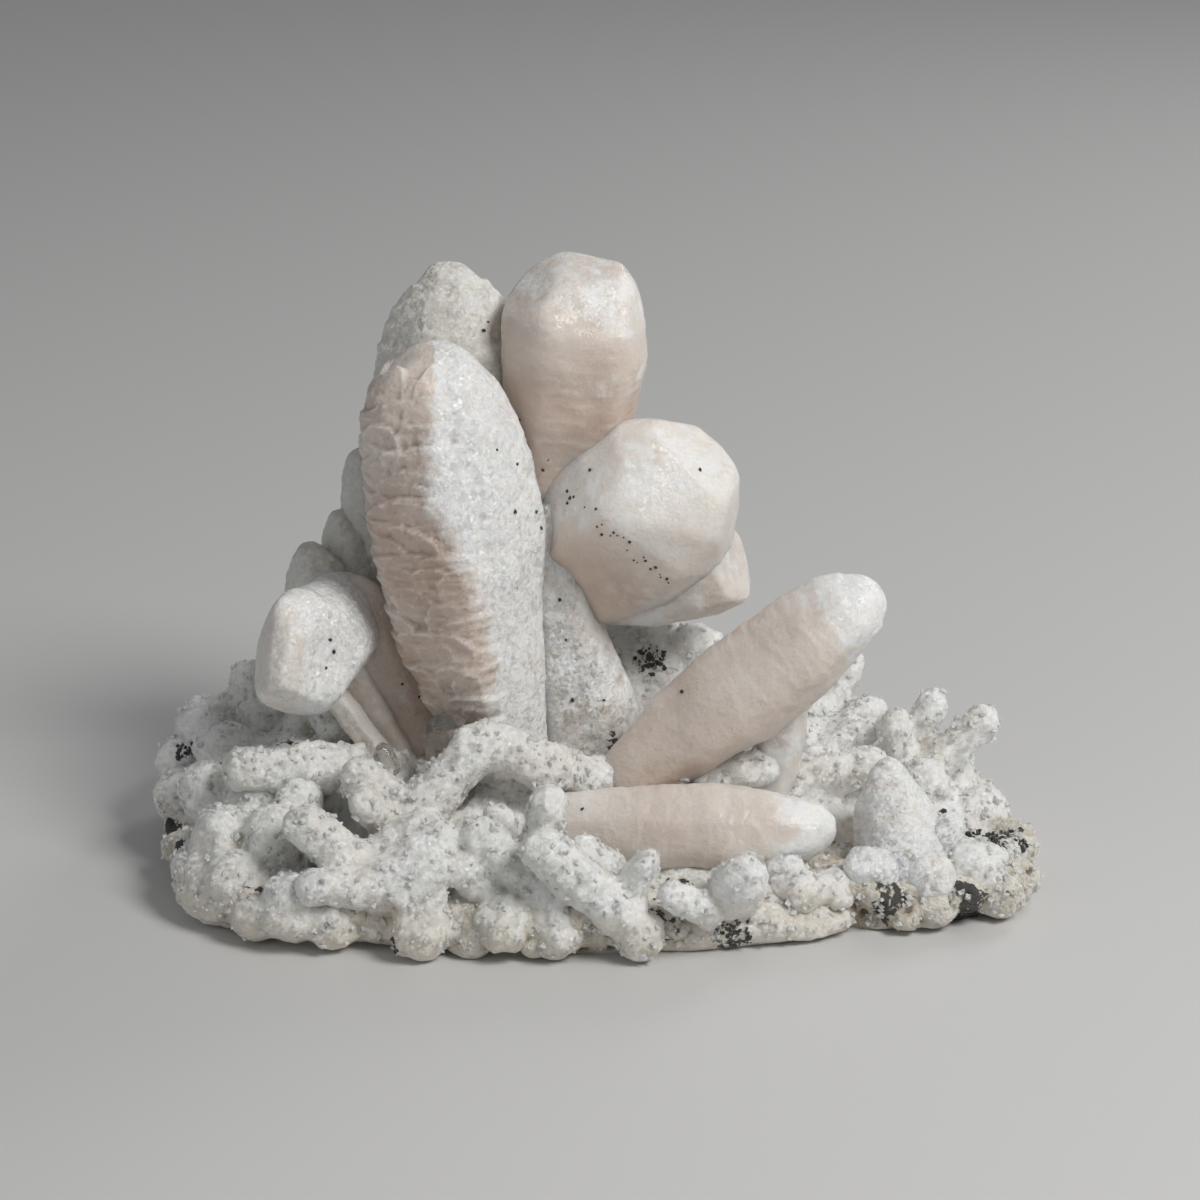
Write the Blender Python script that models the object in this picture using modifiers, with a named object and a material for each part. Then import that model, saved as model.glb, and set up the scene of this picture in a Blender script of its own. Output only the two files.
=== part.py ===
"""Manganocalcite specimen: blunt pink calcite crystals on a plate of druse-coated rock.

Lengths are in millimetres in the tables below and become metres when a mesh is written.
X runs to the right, Y away from the front, Z up, and the plate rests on Z = 0.
"""

import math
import random

import bmesh
import bpy
from mathutils import Matrix, Vector, noise

MM = 0.001

# Clearance that a crystal keeps to the rock it grows from.
SOCKET_GAP = 0.35

# Moves the finished specimen so that the middle of its footprint is on the Z axis.
CENTRE_SHIFT = (1.5, -1.5, 0.0)

# Rock plate.
PLATE_THICKNESS = 7.0
PLATE_FOOT = 0.93
PLATE_OUTLINE = [
    (-64, 8), (-61, -8), (-55, -21), (-47, -30), (-32, -30), (-18, -32), (-4, -34), (6, -34),
    (14, -29), (23, -27), (33, -23), (41, -26), (50, -24), (60, -20), (61, -8), (56, 3),
    (53, 14), (47, 22), (36, 29), (22, 34), (4, 37), (-14, 38), (-30, 36), (-42, 33),
    (-53, 27), (-61, 18),
]

# Broad swellings of the plate: centre, then radii.
SWELLINGS = [
    ((-48, 8, 7), (17, 17, 10)),
    ((-20, 6, 7), (27, 25, 8.5)),
    ((16, 8, 7), (28, 24, 8)),
    ((44, 4, 4), (17, 19, 8)),
    ((30, 20, 8), (15, 12, 9)),
    ((-4, 26, 8), (44, 13, 10)),
    ((-42, 19, 16), (11, 11, 12)),
    ((8, 21, 18), (12, 9, 12)),
    ((-20, -20, 4), (32, 14, 6)),
    ((12, -20, 3), (26, 13, 6)),
    ((-50, -14, 5), (12, 14, 8)),
]

# Druse-coated fingers: root, tip, radius.
FINGERS = [
    ((-33.5, -27.0, 10), (-41.5, -27.5, 18), 3.2),
    ((-27.5, -14.5, 13), (-34.5, -15.5, 20), 3.1),
    ((-29.0, -17.0, 12), (-33.5, -20.5, 18), 2.4),
    ((-22.0, -30.0, 8), (-40.0, -32.5, 10.5), 2.8),
    ((-33.0, -26.0, 11), (-24.0, -24.5, 17), 2.4),
    ((-32.0, -30.5, 10.5), (-21.8, -28.0, 16), 2.4),
    ((-28.5, -33.0, 8), (-22.5, -30.5, 13), 2.7),
    ((-34.0, -8.5, 18), (-52.0, -11.5, 19), 3.4),
    ((4.5, -34.0, 6), (-8.5, -34.0, 17), 3.2),
    ((-9.0, -28.0, 13), (-6.8, -28.5, 22), 2.6),
    ((-5.0, -31.5, 7), (-17.0, -27.5, 16), 3.1),
    ((-14.8, -13.0, 8), (-14.5, -19.0, 15), 2.6),
    ((2.5, -27.0, 8), (-2.5, -29.5, 14), 2.8),
    ((3.5, -32.0, 8), (6.4, -34.5, 15), 2.2),
    ((-14.0, -28.0, 7), (-19.5, -29.5, 12), 3.0),
    ((48.0, 2.6, 12), (56.8, 2.3, 21.5), 2.7),
    ((45.5, 6.0, 13), (49.8, 6.8, 22.5), 2.3),
    ((46.0, 3.0, 11), (43.3, 4.5, 20.5), 2.5),
    ((32.0, 8.0, 14), (40.0, 7.8, 17), 2.0),
    ((33.0, 8.0, 14), (28.8, 9.8, 18.5), 1.9),
    ((25.0, -2.0, 12.5), (40.0, -2.2, 16), 3.2),
    ((-6.0, -9.5, 18), (-17.0, -13.0, 24), 3.3),
    ((8.0, -5.0, 14), (-6.0, -9.5, 18), 3.0),
    ((0.0, -5.5, 16.5), (12.0, -9.5, 18.5), 2.3),
    ((-27.0, -16.5, 13), (-17.0, -13.0, 24), 3.3),
    ((18.0, -28.0, 6), (20.0, -35.0, 13), 3.6),
    ((16.0, -32.0, 6), (10.0, -36.0, 10.5), 2.4),
    ((13.5, -6.0, 15), (24.5, -6.0, 17.5), 2.6),
]

# Rounded crust lumps: centre, radius.
LUMPS = [
    ((-59.0, 11.0, 17), 4.6), ((-62.5, 9.0, 12), 4.2), ((-56.0, 4.0, 16), 4.4), ((-62.5, 3.0, 9), 4.2),
    ((-57.0, -5.0, 13), 4.4), ((-50.0, -9.5, 14), 4.4), ((-54.0, -17.0, 11), 4.8), ((-46.5, -19.5, 12), 4.6),
    ((-57.5, -17.0, 6), 4.4), ((-51.5, -24.0, 7), 4.6), ((-43.5, -29.5, 6), 4.8), ((-48.0, -28.0, 4), 3.8),
    ((-37.5, -31.0, 4), 3.8), ((-43.0, -14.0, 15), 3.4), ((-25.0, -33.0, 4), 4.4), ((-13.5, -33.0, 5), 4.2),
    ((-6.0, -33.5, 4), 3.8), ((5.5, -34.0, 4), 3.8), ((47.5, -2.0, 12.5), 4.0), ((56.5, -1.5, 8), 4.2),
    ((58.0, -13.0, 5), 4.4), ((53.5, -17.5, 6), 5.0), ((6.0, 22.0, 25), 5.5), ((15.0, 18.0, 26), 4.5),
    ((28.5, -27.0, 7), 3.2), ((26.0, -24.0, 8), 3.4), ((33.0, -24.0, 6), 3.2), ((-60.0, 18.0, 12), 4.6),
    ((-52.0, 14.0, 19), 4.6), ((-39.0, -20.0, 11), 3.4), ((-10.0, -22.0, 9), 3.6), ((57.0, -20.0, 3.5), 3.6),
    ((52.5, 8.0, 10), 4.0), ((24.0, 12.0, 15), 4.0), ((38.0, 12.0, 13), 4.0), ((-30.0, -4.0, 15), 3.6),
]

# Knobs of the crumbly rim, and crust lumps and short fingers on the back slope.
RIM_KNOBS = 74
RIM_KNOB_RADIUS = (1.8, 3.4)
BACK_LUMPS = 46
BACK_LUMP_RADIUS = (2.6, 4.6)
BACK_FINGERS = 16
BACK_FINGER_RADIUS = (1.9, 2.8)

# Half ellipse over which the back crust is spread: half width, depth, and where it starts.
BACK_HALF_WIDTH = 58.0
BACK_DEPTH = 33.0
BACK_START = 3.0

# How far the lip of a growth ledge wanders up and down round the crystal.
LEDGE_STAGGER = 0.55

VOXEL = 0.8
MATRIX_TRIANGLES = 3700

# Block that cuts the underside flat, larger than the plate in every direction.
CUTTER_WIDTH = 200.0
CUTTER_HEIGHT = 20.0

# Crystals. Each section holds its place along the axis from 0 at the root to 1 at the tip, then
# the half widths to the left, right, front and back of the axis.
COLUMN = dict(
    root=(-13.4, 3.0, 7.0), tip=(-23.6, 2.0, 78.6), power=(1.55, 1.9), sides=16,
    sections=[
        (0.00, 6.0, 5.5, 5.0, 6.0), (0.12, 7.6, 7.0, 6.0, 7.0), (0.22, 8.4, 7.6, 7.2, 7.6),
        (0.32, 10.8, 8.6, 8.6, 8.4), (0.42, 12.4, 9.6, 9.6, 8.8), (0.54, 13.3, 10.6, 10.4, 9.0),
        (0.66, 13.4, 11.0, 10.4, 9.0), (0.75, 12.9, 11.4, 9.8, 8.6), (0.83, 12.5, 10.4, 8.8, 8.0),
        (0.90, 11.5, 8.4, 7.4, 7.0), (0.95, 9.8, 6.0, 5.6, 5.6), (1.00, 6.4, 3.2, 2.6, 3.0),
    ],
    ledges=(0.20, 0.86, 10, 0.9, (150, 292)),
    facets=[((-24, -4, 74.5), (-0.22, -0.62, 0.75))],
)
REAR_CRYSTAL = dict(
    root=(-17.0, 18.0, 14.0), tip=(-22.0, 17.0, 87.0), power=(1.8, 1.9), sides=12,
    sections=[
        (0.00, 7.0, 7.0, 7.0, 6.0), (0.30, 9.5, 8.5, 9.0, 8.0), (0.60, 12.0, 9.5, 10.0, 9.0),
        (0.74, 12.4, 9.5, 10.0, 9.0), (0.86, 10.2, 9.0, 8.6, 8.0), (0.93, 7.6, 7.4, 6.4, 6.0),
        (1.00, 2.6, 2.4, 2.4, 2.2),
    ],
    ledges=(0.50, 0.90, 4, 0.7, (120, 260)),
    facets=[],
)
TOP_CRYSTAL = dict(
    root=(-9.0, 15.0, 34.0), tip=(-1.2, 11.0, 89.3), power=(2.2, 2.0), sides=14,
    sections=[
        (0.00, 3.5, 3.5, 4.0, 4.0), (0.30, 5.5, 6.0, 6.0, 6.0), (0.48, 8.2, 9.0, 8.0, 8.0),
        (0.62, 10.2, 10.4, 10.0, 10.0), (0.75, 11.8, 10.6, 11.5, 11.0), (0.86, 12.2, 9.2, 11.0, 10.0),
        (0.93, 10.0, 7.6, 8.6, 8.4), (1.00, 6.2, 4.2, 5.0, 5.0),
    ],
    ledges=None,
    facets=[((-1, 1.0, 84.5), (0.06, -0.30, 0.95)), ((7.5, 8, 83), (0.72, -0.20, 0.66)),
            ((-10, 8, 85), (-0.62, -0.30, 0.72)), ((0, -1.5, 74), (-0.05, -0.93, -0.36))],
)
TOOTH = dict(
    root=(-7.0, 14.0, 36.0), tip=(14.5, 3.5, 61.5), power=(2.3, 2.1), sides=14,
    sections=[
        (0.00, 6.0, 6.0, 6.0, 6.0), (0.25, 11.0, 11.0, 9.0, 9.0), (0.48, 13.4, 14.0, 11.5, 11.0),
        (0.68, 13.2, 14.6, 12.0, 11.5), (0.86, 11.6, 12.6, 10.4, 10.4), (1.00, 8.0, 8.6, 7.0, 7.6),
    ],
    ledges=None,
    facets=[((8, -3.4, 56), (0.12, -0.90, 0.40)), ((2, -3.5, 46), (-0.52, -0.72, -0.46)),
            ((18.6, 4, 52), (0.93, -0.28, -0.10)), ((10, 2, 67.2), (-0.05, -0.10, 1.0))],
)
TOOTH_UNDERLAYER = dict(
    root=(-2.0, 16.0, 36.0), tip=(20.0, 7.5, 44.0), power=(2.2, 2.2), sides=12,
    sections=[
        (0.00, 5.0, 4.5, 5.0, 5.0), (0.40, 7.6, 6.6, 8.0, 7.0), (0.80, 7.6, 6.6, 8.4, 7.0),
        (1.00, 5.4, 4.6, 5.6, 5.0),
    ],
    ledges=None,
    facets=[],
)
PALE_COLUMN = dict(
    root=(0.6, 9.0, 7.0), tip=(-7.0, 6.0, 54.5), power=(2.0, 2.0), sides=12,
    sections=[
        (0.00, 9.4, 7.4, 7.0, 7.0), (0.16, 9.0, 7.6, 7.0, 7.0), (0.32, 8.0, 7.6, 6.4, 7.0),
        (0.50, 7.0, 5.2, 5.2, 7.0), (0.75, 5.4, 4.0, 4.0, 6.0), (0.92, 4.0, 2.2, 2.8, 4.0),
        (1.00, 1.8, 1.2, 1.4, 2.0),
    ],
    ledges=None,
    facets=[],
)
LEFT_CRYSTAL = dict(
    root=(-37.0, 12.0, 34.0), tip=(-45.0, -14.0, 34.5), power=(1.5, 2.4), sides=12,
    sections=[
        (0.00, 6.0, 6.0, 7.0, 7.0), (0.35, 7.0, 7.0, 8.4, 8.2), (0.65, 7.6, 7.4, 9.8, 10.0),
        (0.85, 7.4, 7.0, 9.6, 9.4), (1.00, 5.4, 5.0, 7.0, 6.6),
    ],
    ledges=None,
    facets=[((-47.5, -10.5, 38), (-0.45, -0.78, 0.42)), ((-45, -11.5, 28.5), (-0.10, -0.84, -0.54)),
            ((-40, -9, 35), (0.66, -0.74, 0.10))],
)
BROWN_CRYSTAL = dict(
    root=(-22.5, 8.0, 8.0), tip=(-36.6, 8.0, 42.0), power=(2.0, 2.0), sides=10,
    sections=[
        (0.00, 4.4, 5.4, 4.2, 4.0), (0.40, 4.8, 6.0, 4.8, 5.0), (0.75, 5.2, 5.0, 5.0, 5.0),
        (0.92, 3.4, 3.0, 3.6, 4.0), (1.00, 1.4, 1.4, 1.4, 1.6),
    ],
    ledges=None,
    facets=[],
)
BROWN_COMPANION = dict(
    root=(-26.0, 6.0, 8.0), tip=(-39.5, 7.0, 35.0), power=(2.0, 2.0), sides=9,
    sections=[
        (0.00, 3.8, 3.2, 3.6, 4.0), (0.50, 4.2, 3.4, 4.2, 5.0), (0.85, 3.8, 3.0, 3.8, 4.6),
        (1.00, 1.8, 1.6, 1.8, 2.4),
    ],
    ledges=None,
    facets=[],
)
THIN_PRISM = dict(
    root=(-27.6, 1.2, 8.0), tip=(-40.5, 2.5, 27.5), power=(2.4, 2.4), sides=6,
    sections=[
        (0.00, 2.2, 2.2, 2.2, 3.4), (0.70, 2.2, 2.2, 2.2, 4.4), (1.00, 1.6, 1.6, 1.6, 4.0),
    ],
    ledges=None,
    facets=[],
)
SLOPE_UPPER = dict(
    root=(-33.0, 20.0, 26.0), tip=(-35.8, 19.5, 57.5), power=(2.6, 2.2), sides=8,
    sections=[
        (0.00, 6.0, 9.0, 6.0, 6.0), (0.50, 4.6, 8.6, 5.0, 5.0), (0.85, 2.8, 6.6, 3.6, 3.6),
        (1.00, 1.4, 4.4, 2.0, 2.0),
    ],
    ledges=None,
    facets=[],
)
SLOPE_MIDDLE = dict(
    root=(-35.0, 19.0, 18.0), tip=(-38.6, 17.5, 49.0), power=(2.6, 2.2), sides=8,
    sections=[
        (0.00, 7.0, 8.0, 7.0, 7.0), (0.55, 5.4, 7.4, 5.6, 6.0), (0.88, 3.6, 5.0, 3.8, 4.6),
        (1.00, 1.8, 2.4, 2.0, 2.6),
    ],
    ledges=None,
    facets=[],
)
SLOPE_LOWER = dict(
    root=(-37.0, 17.0, 16.0), tip=(-43.8, 12.5, 45.5), power=(2.6, 2.2), sides=9,
    sections=[
        (0.00, 8.0, 7.0, 7.0, 8.0), (0.50, 6.2, 6.4, 6.2, 7.0), (0.85, 4.2, 5.0, 4.4, 5.0),
        (1.00, 1.8, 2.6, 2.0, 2.8),
    ],
    ledges=None,
    facets=[((-44, 8, 40), (-0.45, -0.70, 0.55))],
)
CLUSTER = [
    COLUMN, REAR_CRYSTAL, TOP_CRYSTAL, TOOTH, TOOTH_UNDERLAYER, PALE_COLUMN, LEFT_CRYSTAL,
    BROWN_CRYSTAL, BROWN_COMPANION, THIN_PRISM, SLOPE_UPPER, SLOPE_MIDDLE, SLOPE_LOWER,
]

DIAGONAL = dict(
    root=(3.0, -6.5, 14.5), tip=(40.0, -8.5, 45.5), power=(1.8, 1.9), sides=14,
    sections=[
        (0.00, 4.6, 4.4, 4.4, 4.0), (0.14, 6.2, 5.6, 5.6, 5.0), (0.28, 7.6, 6.6, 6.6, 6.0),
        (0.45, 8.2, 7.4, 7.2, 6.6), (0.62, 8.2, 7.0, 7.2, 6.6), (0.78, 7.8, 6.0, 6.6, 6.2),
        (0.90, 6.6, 4.8, 5.4, 5.0), (0.97, 4.6, 3.2, 3.8, 3.6), (1.00, 2.4, 1.8, 2.0, 2.0),
    ],
    ledges=(0.30, 0.92, 7, 0.45, (200, 340)),
    facets=[],
)
DIAGONAL_BLOCKS = [
    dict(
        root=(24.5, -3.0, 9.0), tip=(28.0, -4.5, 28.5), power=(2.6, 2.4), sides=8,
        sections=[(0.00, 4.2, 3.6, 4.0, 4.0), (0.70, 4.0, 3.4, 3.8, 4.0), (1.00, 2.2, 2.0, 2.0, 2.2)],
        ledges=None, facets=[],
    ),
]
LYING = dict(
    root=(-7.5, -15.5, 12.0), tip=(34.0, -19.5, 13.6), power=(1.7, 2.0), sides=12,
    sections=[
        (0.00, 4.6, 4.6, 4.4, 4.4), (0.20, 5.8, 5.2, 5.6, 5.4), (0.40, 6.6, 6.6, 6.6, 6.0),
        (0.58, 6.7, 7.4, 7.0, 6.2), (0.74, 5.6, 7.0, 6.4, 5.8), (0.87, 4.4, 5.2, 5.0, 4.8),
        (0.95, 3.2, 4.0, 3.8, 3.6), (1.00, 1.6, 2.2, 2.0, 2.0),
    ],
    ledges=None,
    facets=[],
)
CORNER = dict(
    root=(44.6, -16.5, 5.0), tip=(41.2, -13.0, 22.0), power=(1.6, 1.8), sides=10,
    sections=[
        (0.00, 8.4, 6.8, 8.4, 6.0), (0.22, 8.0, 6.2, 7.6, 6.0), (0.62, 6.2, 4.4, 5.4, 4.6),
        (0.90, 3.0, 2.0, 2.6, 2.4), (1.00, 1.0, 0.8, 0.8, 0.8),
    ],
    ledges=None,
    facets=[],
)
CORNER_SIDE = [
    dict(
        root=(42.0, -20.0, 6.5), tip=(34.5, -24.5, 10.5), power=(2.0, 2.0), sides=8,
        sections=[(0.00, 3.6, 3.6, 3.4, 3.4), (0.75, 3.2, 3.4, 3.2, 3.2), (1.00, 1.6, 1.6, 1.6, 1.6)],
        ledges=None, facets=[],
    ),
    dict(
        root=(44.0, -18.0, 7.0), tip=(49.5, -25.0, 6.5), power=(2.0, 2.0), sides=8,
        sections=[(0.00, 4.0, 4.0, 4.0, 3.6), (0.75, 3.8, 3.8, 3.6, 3.4), (1.00, 2.0, 2.0, 2.0, 2.0)],
        ledges=None, facets=[],
    ),
    dict(
        root=(46.0, -15.0, 6.0), tip=(51.0, -17.5, 14.5), power=(2.0, 2.0), sides=8,
        sections=[(0.00, 3.0, 3.0, 3.0, 3.0), (0.70, 2.8, 2.8, 2.8, 2.8), (1.00, 1.6, 1.6, 1.6, 1.6)],
        ledges=None, facets=[],
    ),
]
PRISMS = [
    dict(
        root=(-20.5, -8.0, 11.0), tip=(-23.2, -9.0, 26.0), power=(2.0, 2.0), sides=6,
        sections=[(0.00, 3.2, 3.2, 3.0, 3.0), (0.85, 3.0, 3.0, 2.8, 2.8), (1.00, 1.8, 1.8, 1.6, 1.6)],
        ledges=None, facets=[],
    ),
    dict(
        root=(-21.5, -9.5, 11.0), tip=(-18.2, -8.6, 25.5), power=(2.0, 2.0), sides=6,
        sections=[(0.00, 2.8, 2.8, 2.6, 2.6), (0.85, 2.6, 2.6, 2.4, 2.4), (1.00, 1.2, 1.2, 1.2, 1.2)],
        ledges=None, facets=[],
    ),
]


def clear_scene():
    for item in list(bpy.data.objects):
        bpy.data.objects.remove(item, do_unlink=True)


def new_collection(name):
    group = bpy.data.collections.new(name)
    bpy.context.scene.collection.children.link(group)
    return group


def surface(name, colour, roughness):
    """A plain material with one colour and one roughness."""
    material = bpy.data.materials.new(name)
    material.use_nodes = True
    shader = material.node_tree.nodes["Principled BSDF"]
    shader.inputs["Base Color"].default_value = (*colour, 1.0)
    shader.inputs["Roughness"].default_value = roughness
    shader.inputs["Metallic"].default_value = 0.0
    return material


def object_from_bmesh(name, shape, group):
    """Closes off a bmesh in millimetres as an object in metres."""
    bmesh.ops.recalc_face_normals(shape, faces=shape.faces)
    bmesh.ops.scale(shape, vec=(MM, MM, MM), verts=shape.verts)
    mesh = bpy.data.meshes.new(name)
    shape.to_mesh(mesh)
    shape.free()
    item = bpy.data.objects.new(name, mesh)
    group.objects.link(item)
    return item


def axes_of(root, tip):
    """The crystal's own directions: along it, to its right and to its back.

    On a crystal that points forward, its back is its upper side."""
    along = (Vector(tip) - Vector(root)).normalized()
    points_forward = abs(along.y) > 0.8
    right = Vector((1.0, 0.0, 0.0)) if points_forward else Vector((along.z, 0.0, -along.x))
    right = (right - right.dot(along) * along).normalized()
    back = along.cross(right)
    if back.y < 0.0 and not points_forward:
        back = -back
    return along, right, back


def blend_section(sections, place):
    """Half widths at a place between two listed sections."""
    for low, high in zip(sections, sections[1:]):
        if place <= high[0]:
            share = (place - low[0]) / (high[0] - low[0])
            return [a + (b - a) * share for a, b in zip(low[1:], high[1:])]
    return list(sections[-1][1:])


def ring_places(crystal):
    """Places of the rings along the axis, each with the height of its ledge lip."""
    places = [(section[0], 0.0) for section in crystal["sections"]]
    if crystal["ledges"]:
        first, last, count, lip, _ = crystal["ledges"]
        pitch = (last - first) / count
        places = [entry for entry in places if entry[0] <= first or entry[0] >= last]
        for step in range(count):
            upper = first + (step + 1) * pitch
            places.append((upper - 0.30 * pitch, lip))
            places.append((upper - 0.05 * pitch, -0.2 * lip))
    return sorted(places)


def crystal_shape(crystal, grow=0.0, seed=1):
    """A loft through the sections, then cut by its terminal faces."""
    rng = random.Random(seed)
    root = Vector(crystal["root"])
    tip = Vector(crystal["tip"])
    along, right, back = axes_of(root, tip)
    length = (tip - root).length
    sides = crystal["sides"]
    front_power, back_power = crystal["power"]
    wobble = [rng.uniform(-0.25, 0.25) for _ in range(sides)]
    shape = bmesh.new()
    rings = []
    for place, lip in ring_places(crystal):
        left_half, right_half, front_half, back_half = blend_section(crystal["sections"], place)
        stretch = (place - 0.5) * (length + 2.0 * grow) / length + 0.5
        middle = root + along * (stretch * length)
        ring = []
        for side in range(sides):
            angle = 2.0 * math.pi * (side + 0.5) / sides
            across, deep = math.cos(angle), math.sin(angle)
            power = back_power if deep > 0.0 else front_power
            wide = right_half if across > 0.0 else left_half
            thick = back_half if deep > 0.0 else front_half
            x = math.copysign(abs(across) ** (2.0 / power), across) * wide
            y = math.copysign(abs(deep) ** (2.0 / power), deep) * thick
            radius = math.hypot(x, y)
            push = wobble[side] + rng.uniform(-0.15, 0.15) + grow
            rise = 0.0
            if lip:
                start, stop = crystal["ledges"][4]
                if start <= math.degrees(angle) <= stop:
                    push += lip
                    rise = LEDGE_STAGGER if side % 3 else -LEDGE_STAGGER
            x *= (radius + push) / radius
            y *= (radius + push) / radius
            ring.append(shape.verts.new(middle + right * x + back * y + along * rise))
        rings.append(ring)
    for lower, upper in zip(rings, rings[1:]):
        for side in range(sides):
            after = (side + 1) % sides
            shape.faces.new((lower[side], lower[after], upper[after], upper[side]))
    shape.faces.new(rings[0])
    shape.faces.new(rings[-1])
    bmesh.ops.recalc_face_normals(shape, faces=shape.faces)
    bmesh.ops.triangulate(shape, faces=shape.faces)
    for point, normal in crystal["facets"]:
        cut_face(shape, Vector(point), Vector(normal).normalized(), grow)
    return shape


def cut_face(shape, point, normal, grow):
    """Takes off what lies outside a plane and closes the cut with one flat face."""
    everything = shape.verts[:] + shape.edges[:] + shape.faces[:]
    cut = bmesh.ops.bisect_plane(
        shape, geom=everything, dist=0.0001, plane_co=point + normal * grow, plane_no=normal,
        clear_outer=True,
    )
    rim = [item for item in cut["geom_cut"] if isinstance(item, bmesh.types.BMEdge)]
    rim = [edge for edge in rim if edge.is_boundary]
    if rim:
        filled = bmesh.ops.edgeloop_fill(shape, edges=rim)
        bmesh.ops.triangulate(shape, faces=filled["faces"])
        bmesh.ops.recalc_face_normals(shape, faces=shape.faces)


def apply_modifiers(item):
    """Replaces an object's mesh by what its modifiers make of it."""
    bpy.context.view_layer.update()
    graph = bpy.context.evaluated_depsgraph_get()
    mesh = bpy.data.meshes.new_from_object(item.evaluated_get(graph))
    item.modifiers.clear()
    item.data = mesh


def combine(item, other, operation):
    """An exact Boolean of two closed objects; the second one is used up."""
    modifier = item.modifiers.new("combine", "BOOLEAN")
    modifier.operation = operation
    modifier.solver = "EXACT"
    modifier.object = other
    apply_modifiers(item)
    bpy.data.objects.remove(other, do_unlink=True)


def keep_largest_body(item):
    """Drops crumbs that a cut has parted from the main body."""
    shape = bmesh.new()
    shape.from_mesh(item.data)
    bmesh.ops.triangulate(shape, faces=shape.faces)
    seen = set()
    bodies = []
    for start in shape.faces:
        if start.index in seen:
            continue
        seen.add(start.index)
        body, queue = [], [start]
        while queue:
            face = queue.pop()
            body.append(face)
            for edge in face.edges:
                for neighbour in edge.link_faces:
                    if neighbour.index not in seen:
                        seen.add(neighbour.index)
                        queue.append(neighbour)
        bodies.append(body)
    bodies.sort(key=len)
    for body in bodies[:-1]:
        bmesh.ops.delete(shape, geom=body, context="FACES")
    shape.to_mesh(item.data)
    shape.free()


def crystal_group(name, crystals, group, grow=0.0):
    """Crystals grown together: every one joined to the first."""
    whole = None
    for number, crystal in enumerate(crystals):
        item = object_from_bmesh(name, crystal_shape(crystal, grow, seed=number + 1), group)
        if whole is None:
            whole = item
        else:
            combine(whole, item, "UNION")
    keep_largest_body(whole)
    return whole


def add_ball(shape, centre, radii, squash_seed):
    """A lump: a ball pushed in and out a little so that no two are alike."""
    made = bmesh.ops.create_icosphere(shape, subdivisions=2, radius=1.0)
    for vert in made["verts"]:
        ripple = 1.0 + 0.14 * noise.noise(vert.co * 1.7 + Vector((squash_seed * 3.1, 0.0, 0.0)))
        vert.co = Vector((
            centre[0] + vert.co.x * radii[0] * ripple,
            centre[1] + vert.co.y * radii[1] * ripple,
            centre[2] + vert.co.z * radii[2] * ripple,
        ))


def add_finger(shape, root, tip, radius):
    """A druse-coated finger: a tapered rod with a blunt round end."""
    root, tip = Vector(root), Vector(tip)
    along = (tip - root).normalized()
    length = (tip - root).length
    turn = Vector((0.0, 0.0, 1.0)).rotation_difference(along).to_matrix().to_4x4()
    rod = bmesh.ops.create_cone(
        shape, cap_ends=True, segments=12, radius1=radius * 1.12, radius2=radius * 0.96,
        depth=length, matrix=Matrix.Translation((root + tip) * 0.5) @ turn,
    )
    end = bmesh.ops.create_icosphere(
        shape, subdivisions=2, radius=radius * 0.97,
        matrix=Matrix.Translation(tip - along * radius * 0.2) @ turn,
    )
    return rod, end


def add_plate(shape):
    """The slab of rock under the crust, from just under Z = 0 upward, narrower at its foot."""
    floor = [shape.verts.new((x * PLATE_FOOT, y * PLATE_FOOT, -1.5)) for x, y in PLATE_OUTLINE]
    face = shape.faces.new(floor)
    for height, growth in ((3.5, 1.0 / PLATE_FOOT), (PLATE_THICKNESS, 1.0)):
        raised = bmesh.ops.extrude_face_region(shape, geom=[face])
        rim = [item for item in raised["geom"] if isinstance(item, bmesh.types.BMVert)]
        face = [item for item in raised["geom"] if isinstance(item, bmesh.types.BMFace)][0]
        for vert in rim:
            vert.co = Vector((vert.co.x * growth, vert.co.y * growth, height))
    bmesh.ops.recalc_face_normals(shape, faces=shape.faces)


def outline_point(share):
    """A point of the plate's outline, by share of the way round."""
    points = PLATE_OUTLINE + PLATE_OUTLINE[:1]
    steps = [math.dist(a, b) for a, b in zip(points, points[1:])]
    left = share * sum(steps)
    for (ax, ay), (bx, by), step in zip(points, points[1:], steps):
        if left <= step:
            part = left / step
            return ax + (bx - ax) * part, ay + (by - ay) * part
        left -= step
    return PLATE_OUTLINE[0]


def ground(x, y):
    """Height of the swollen plate at a point, before its crust."""
    top = PLATE_THICKNESS
    for (cx, cy, cz), (rx, ry, rz) in SWELLINGS:
        inside = 1.0 - ((x - cx) / rx) ** 2 - ((y - cy) / ry) ** 2
        if inside > 0.0:
            top = max(top, cz + rz * math.sqrt(inside))
    return top


def add_rim_knobs(shape):
    rng = random.Random(11)
    for number in range(RIM_KNOBS):
        x, y = outline_point((number + rng.uniform(-0.3, 0.3)) / RIM_KNOBS % 1.0)
        radius = rng.uniform(*RIM_KNOB_RADIUS)
        height = rng.uniform(2.0, 7.0)
        add_ball(shape, (x, y, height), (radius, radius, radius * 0.9), number)


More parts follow.
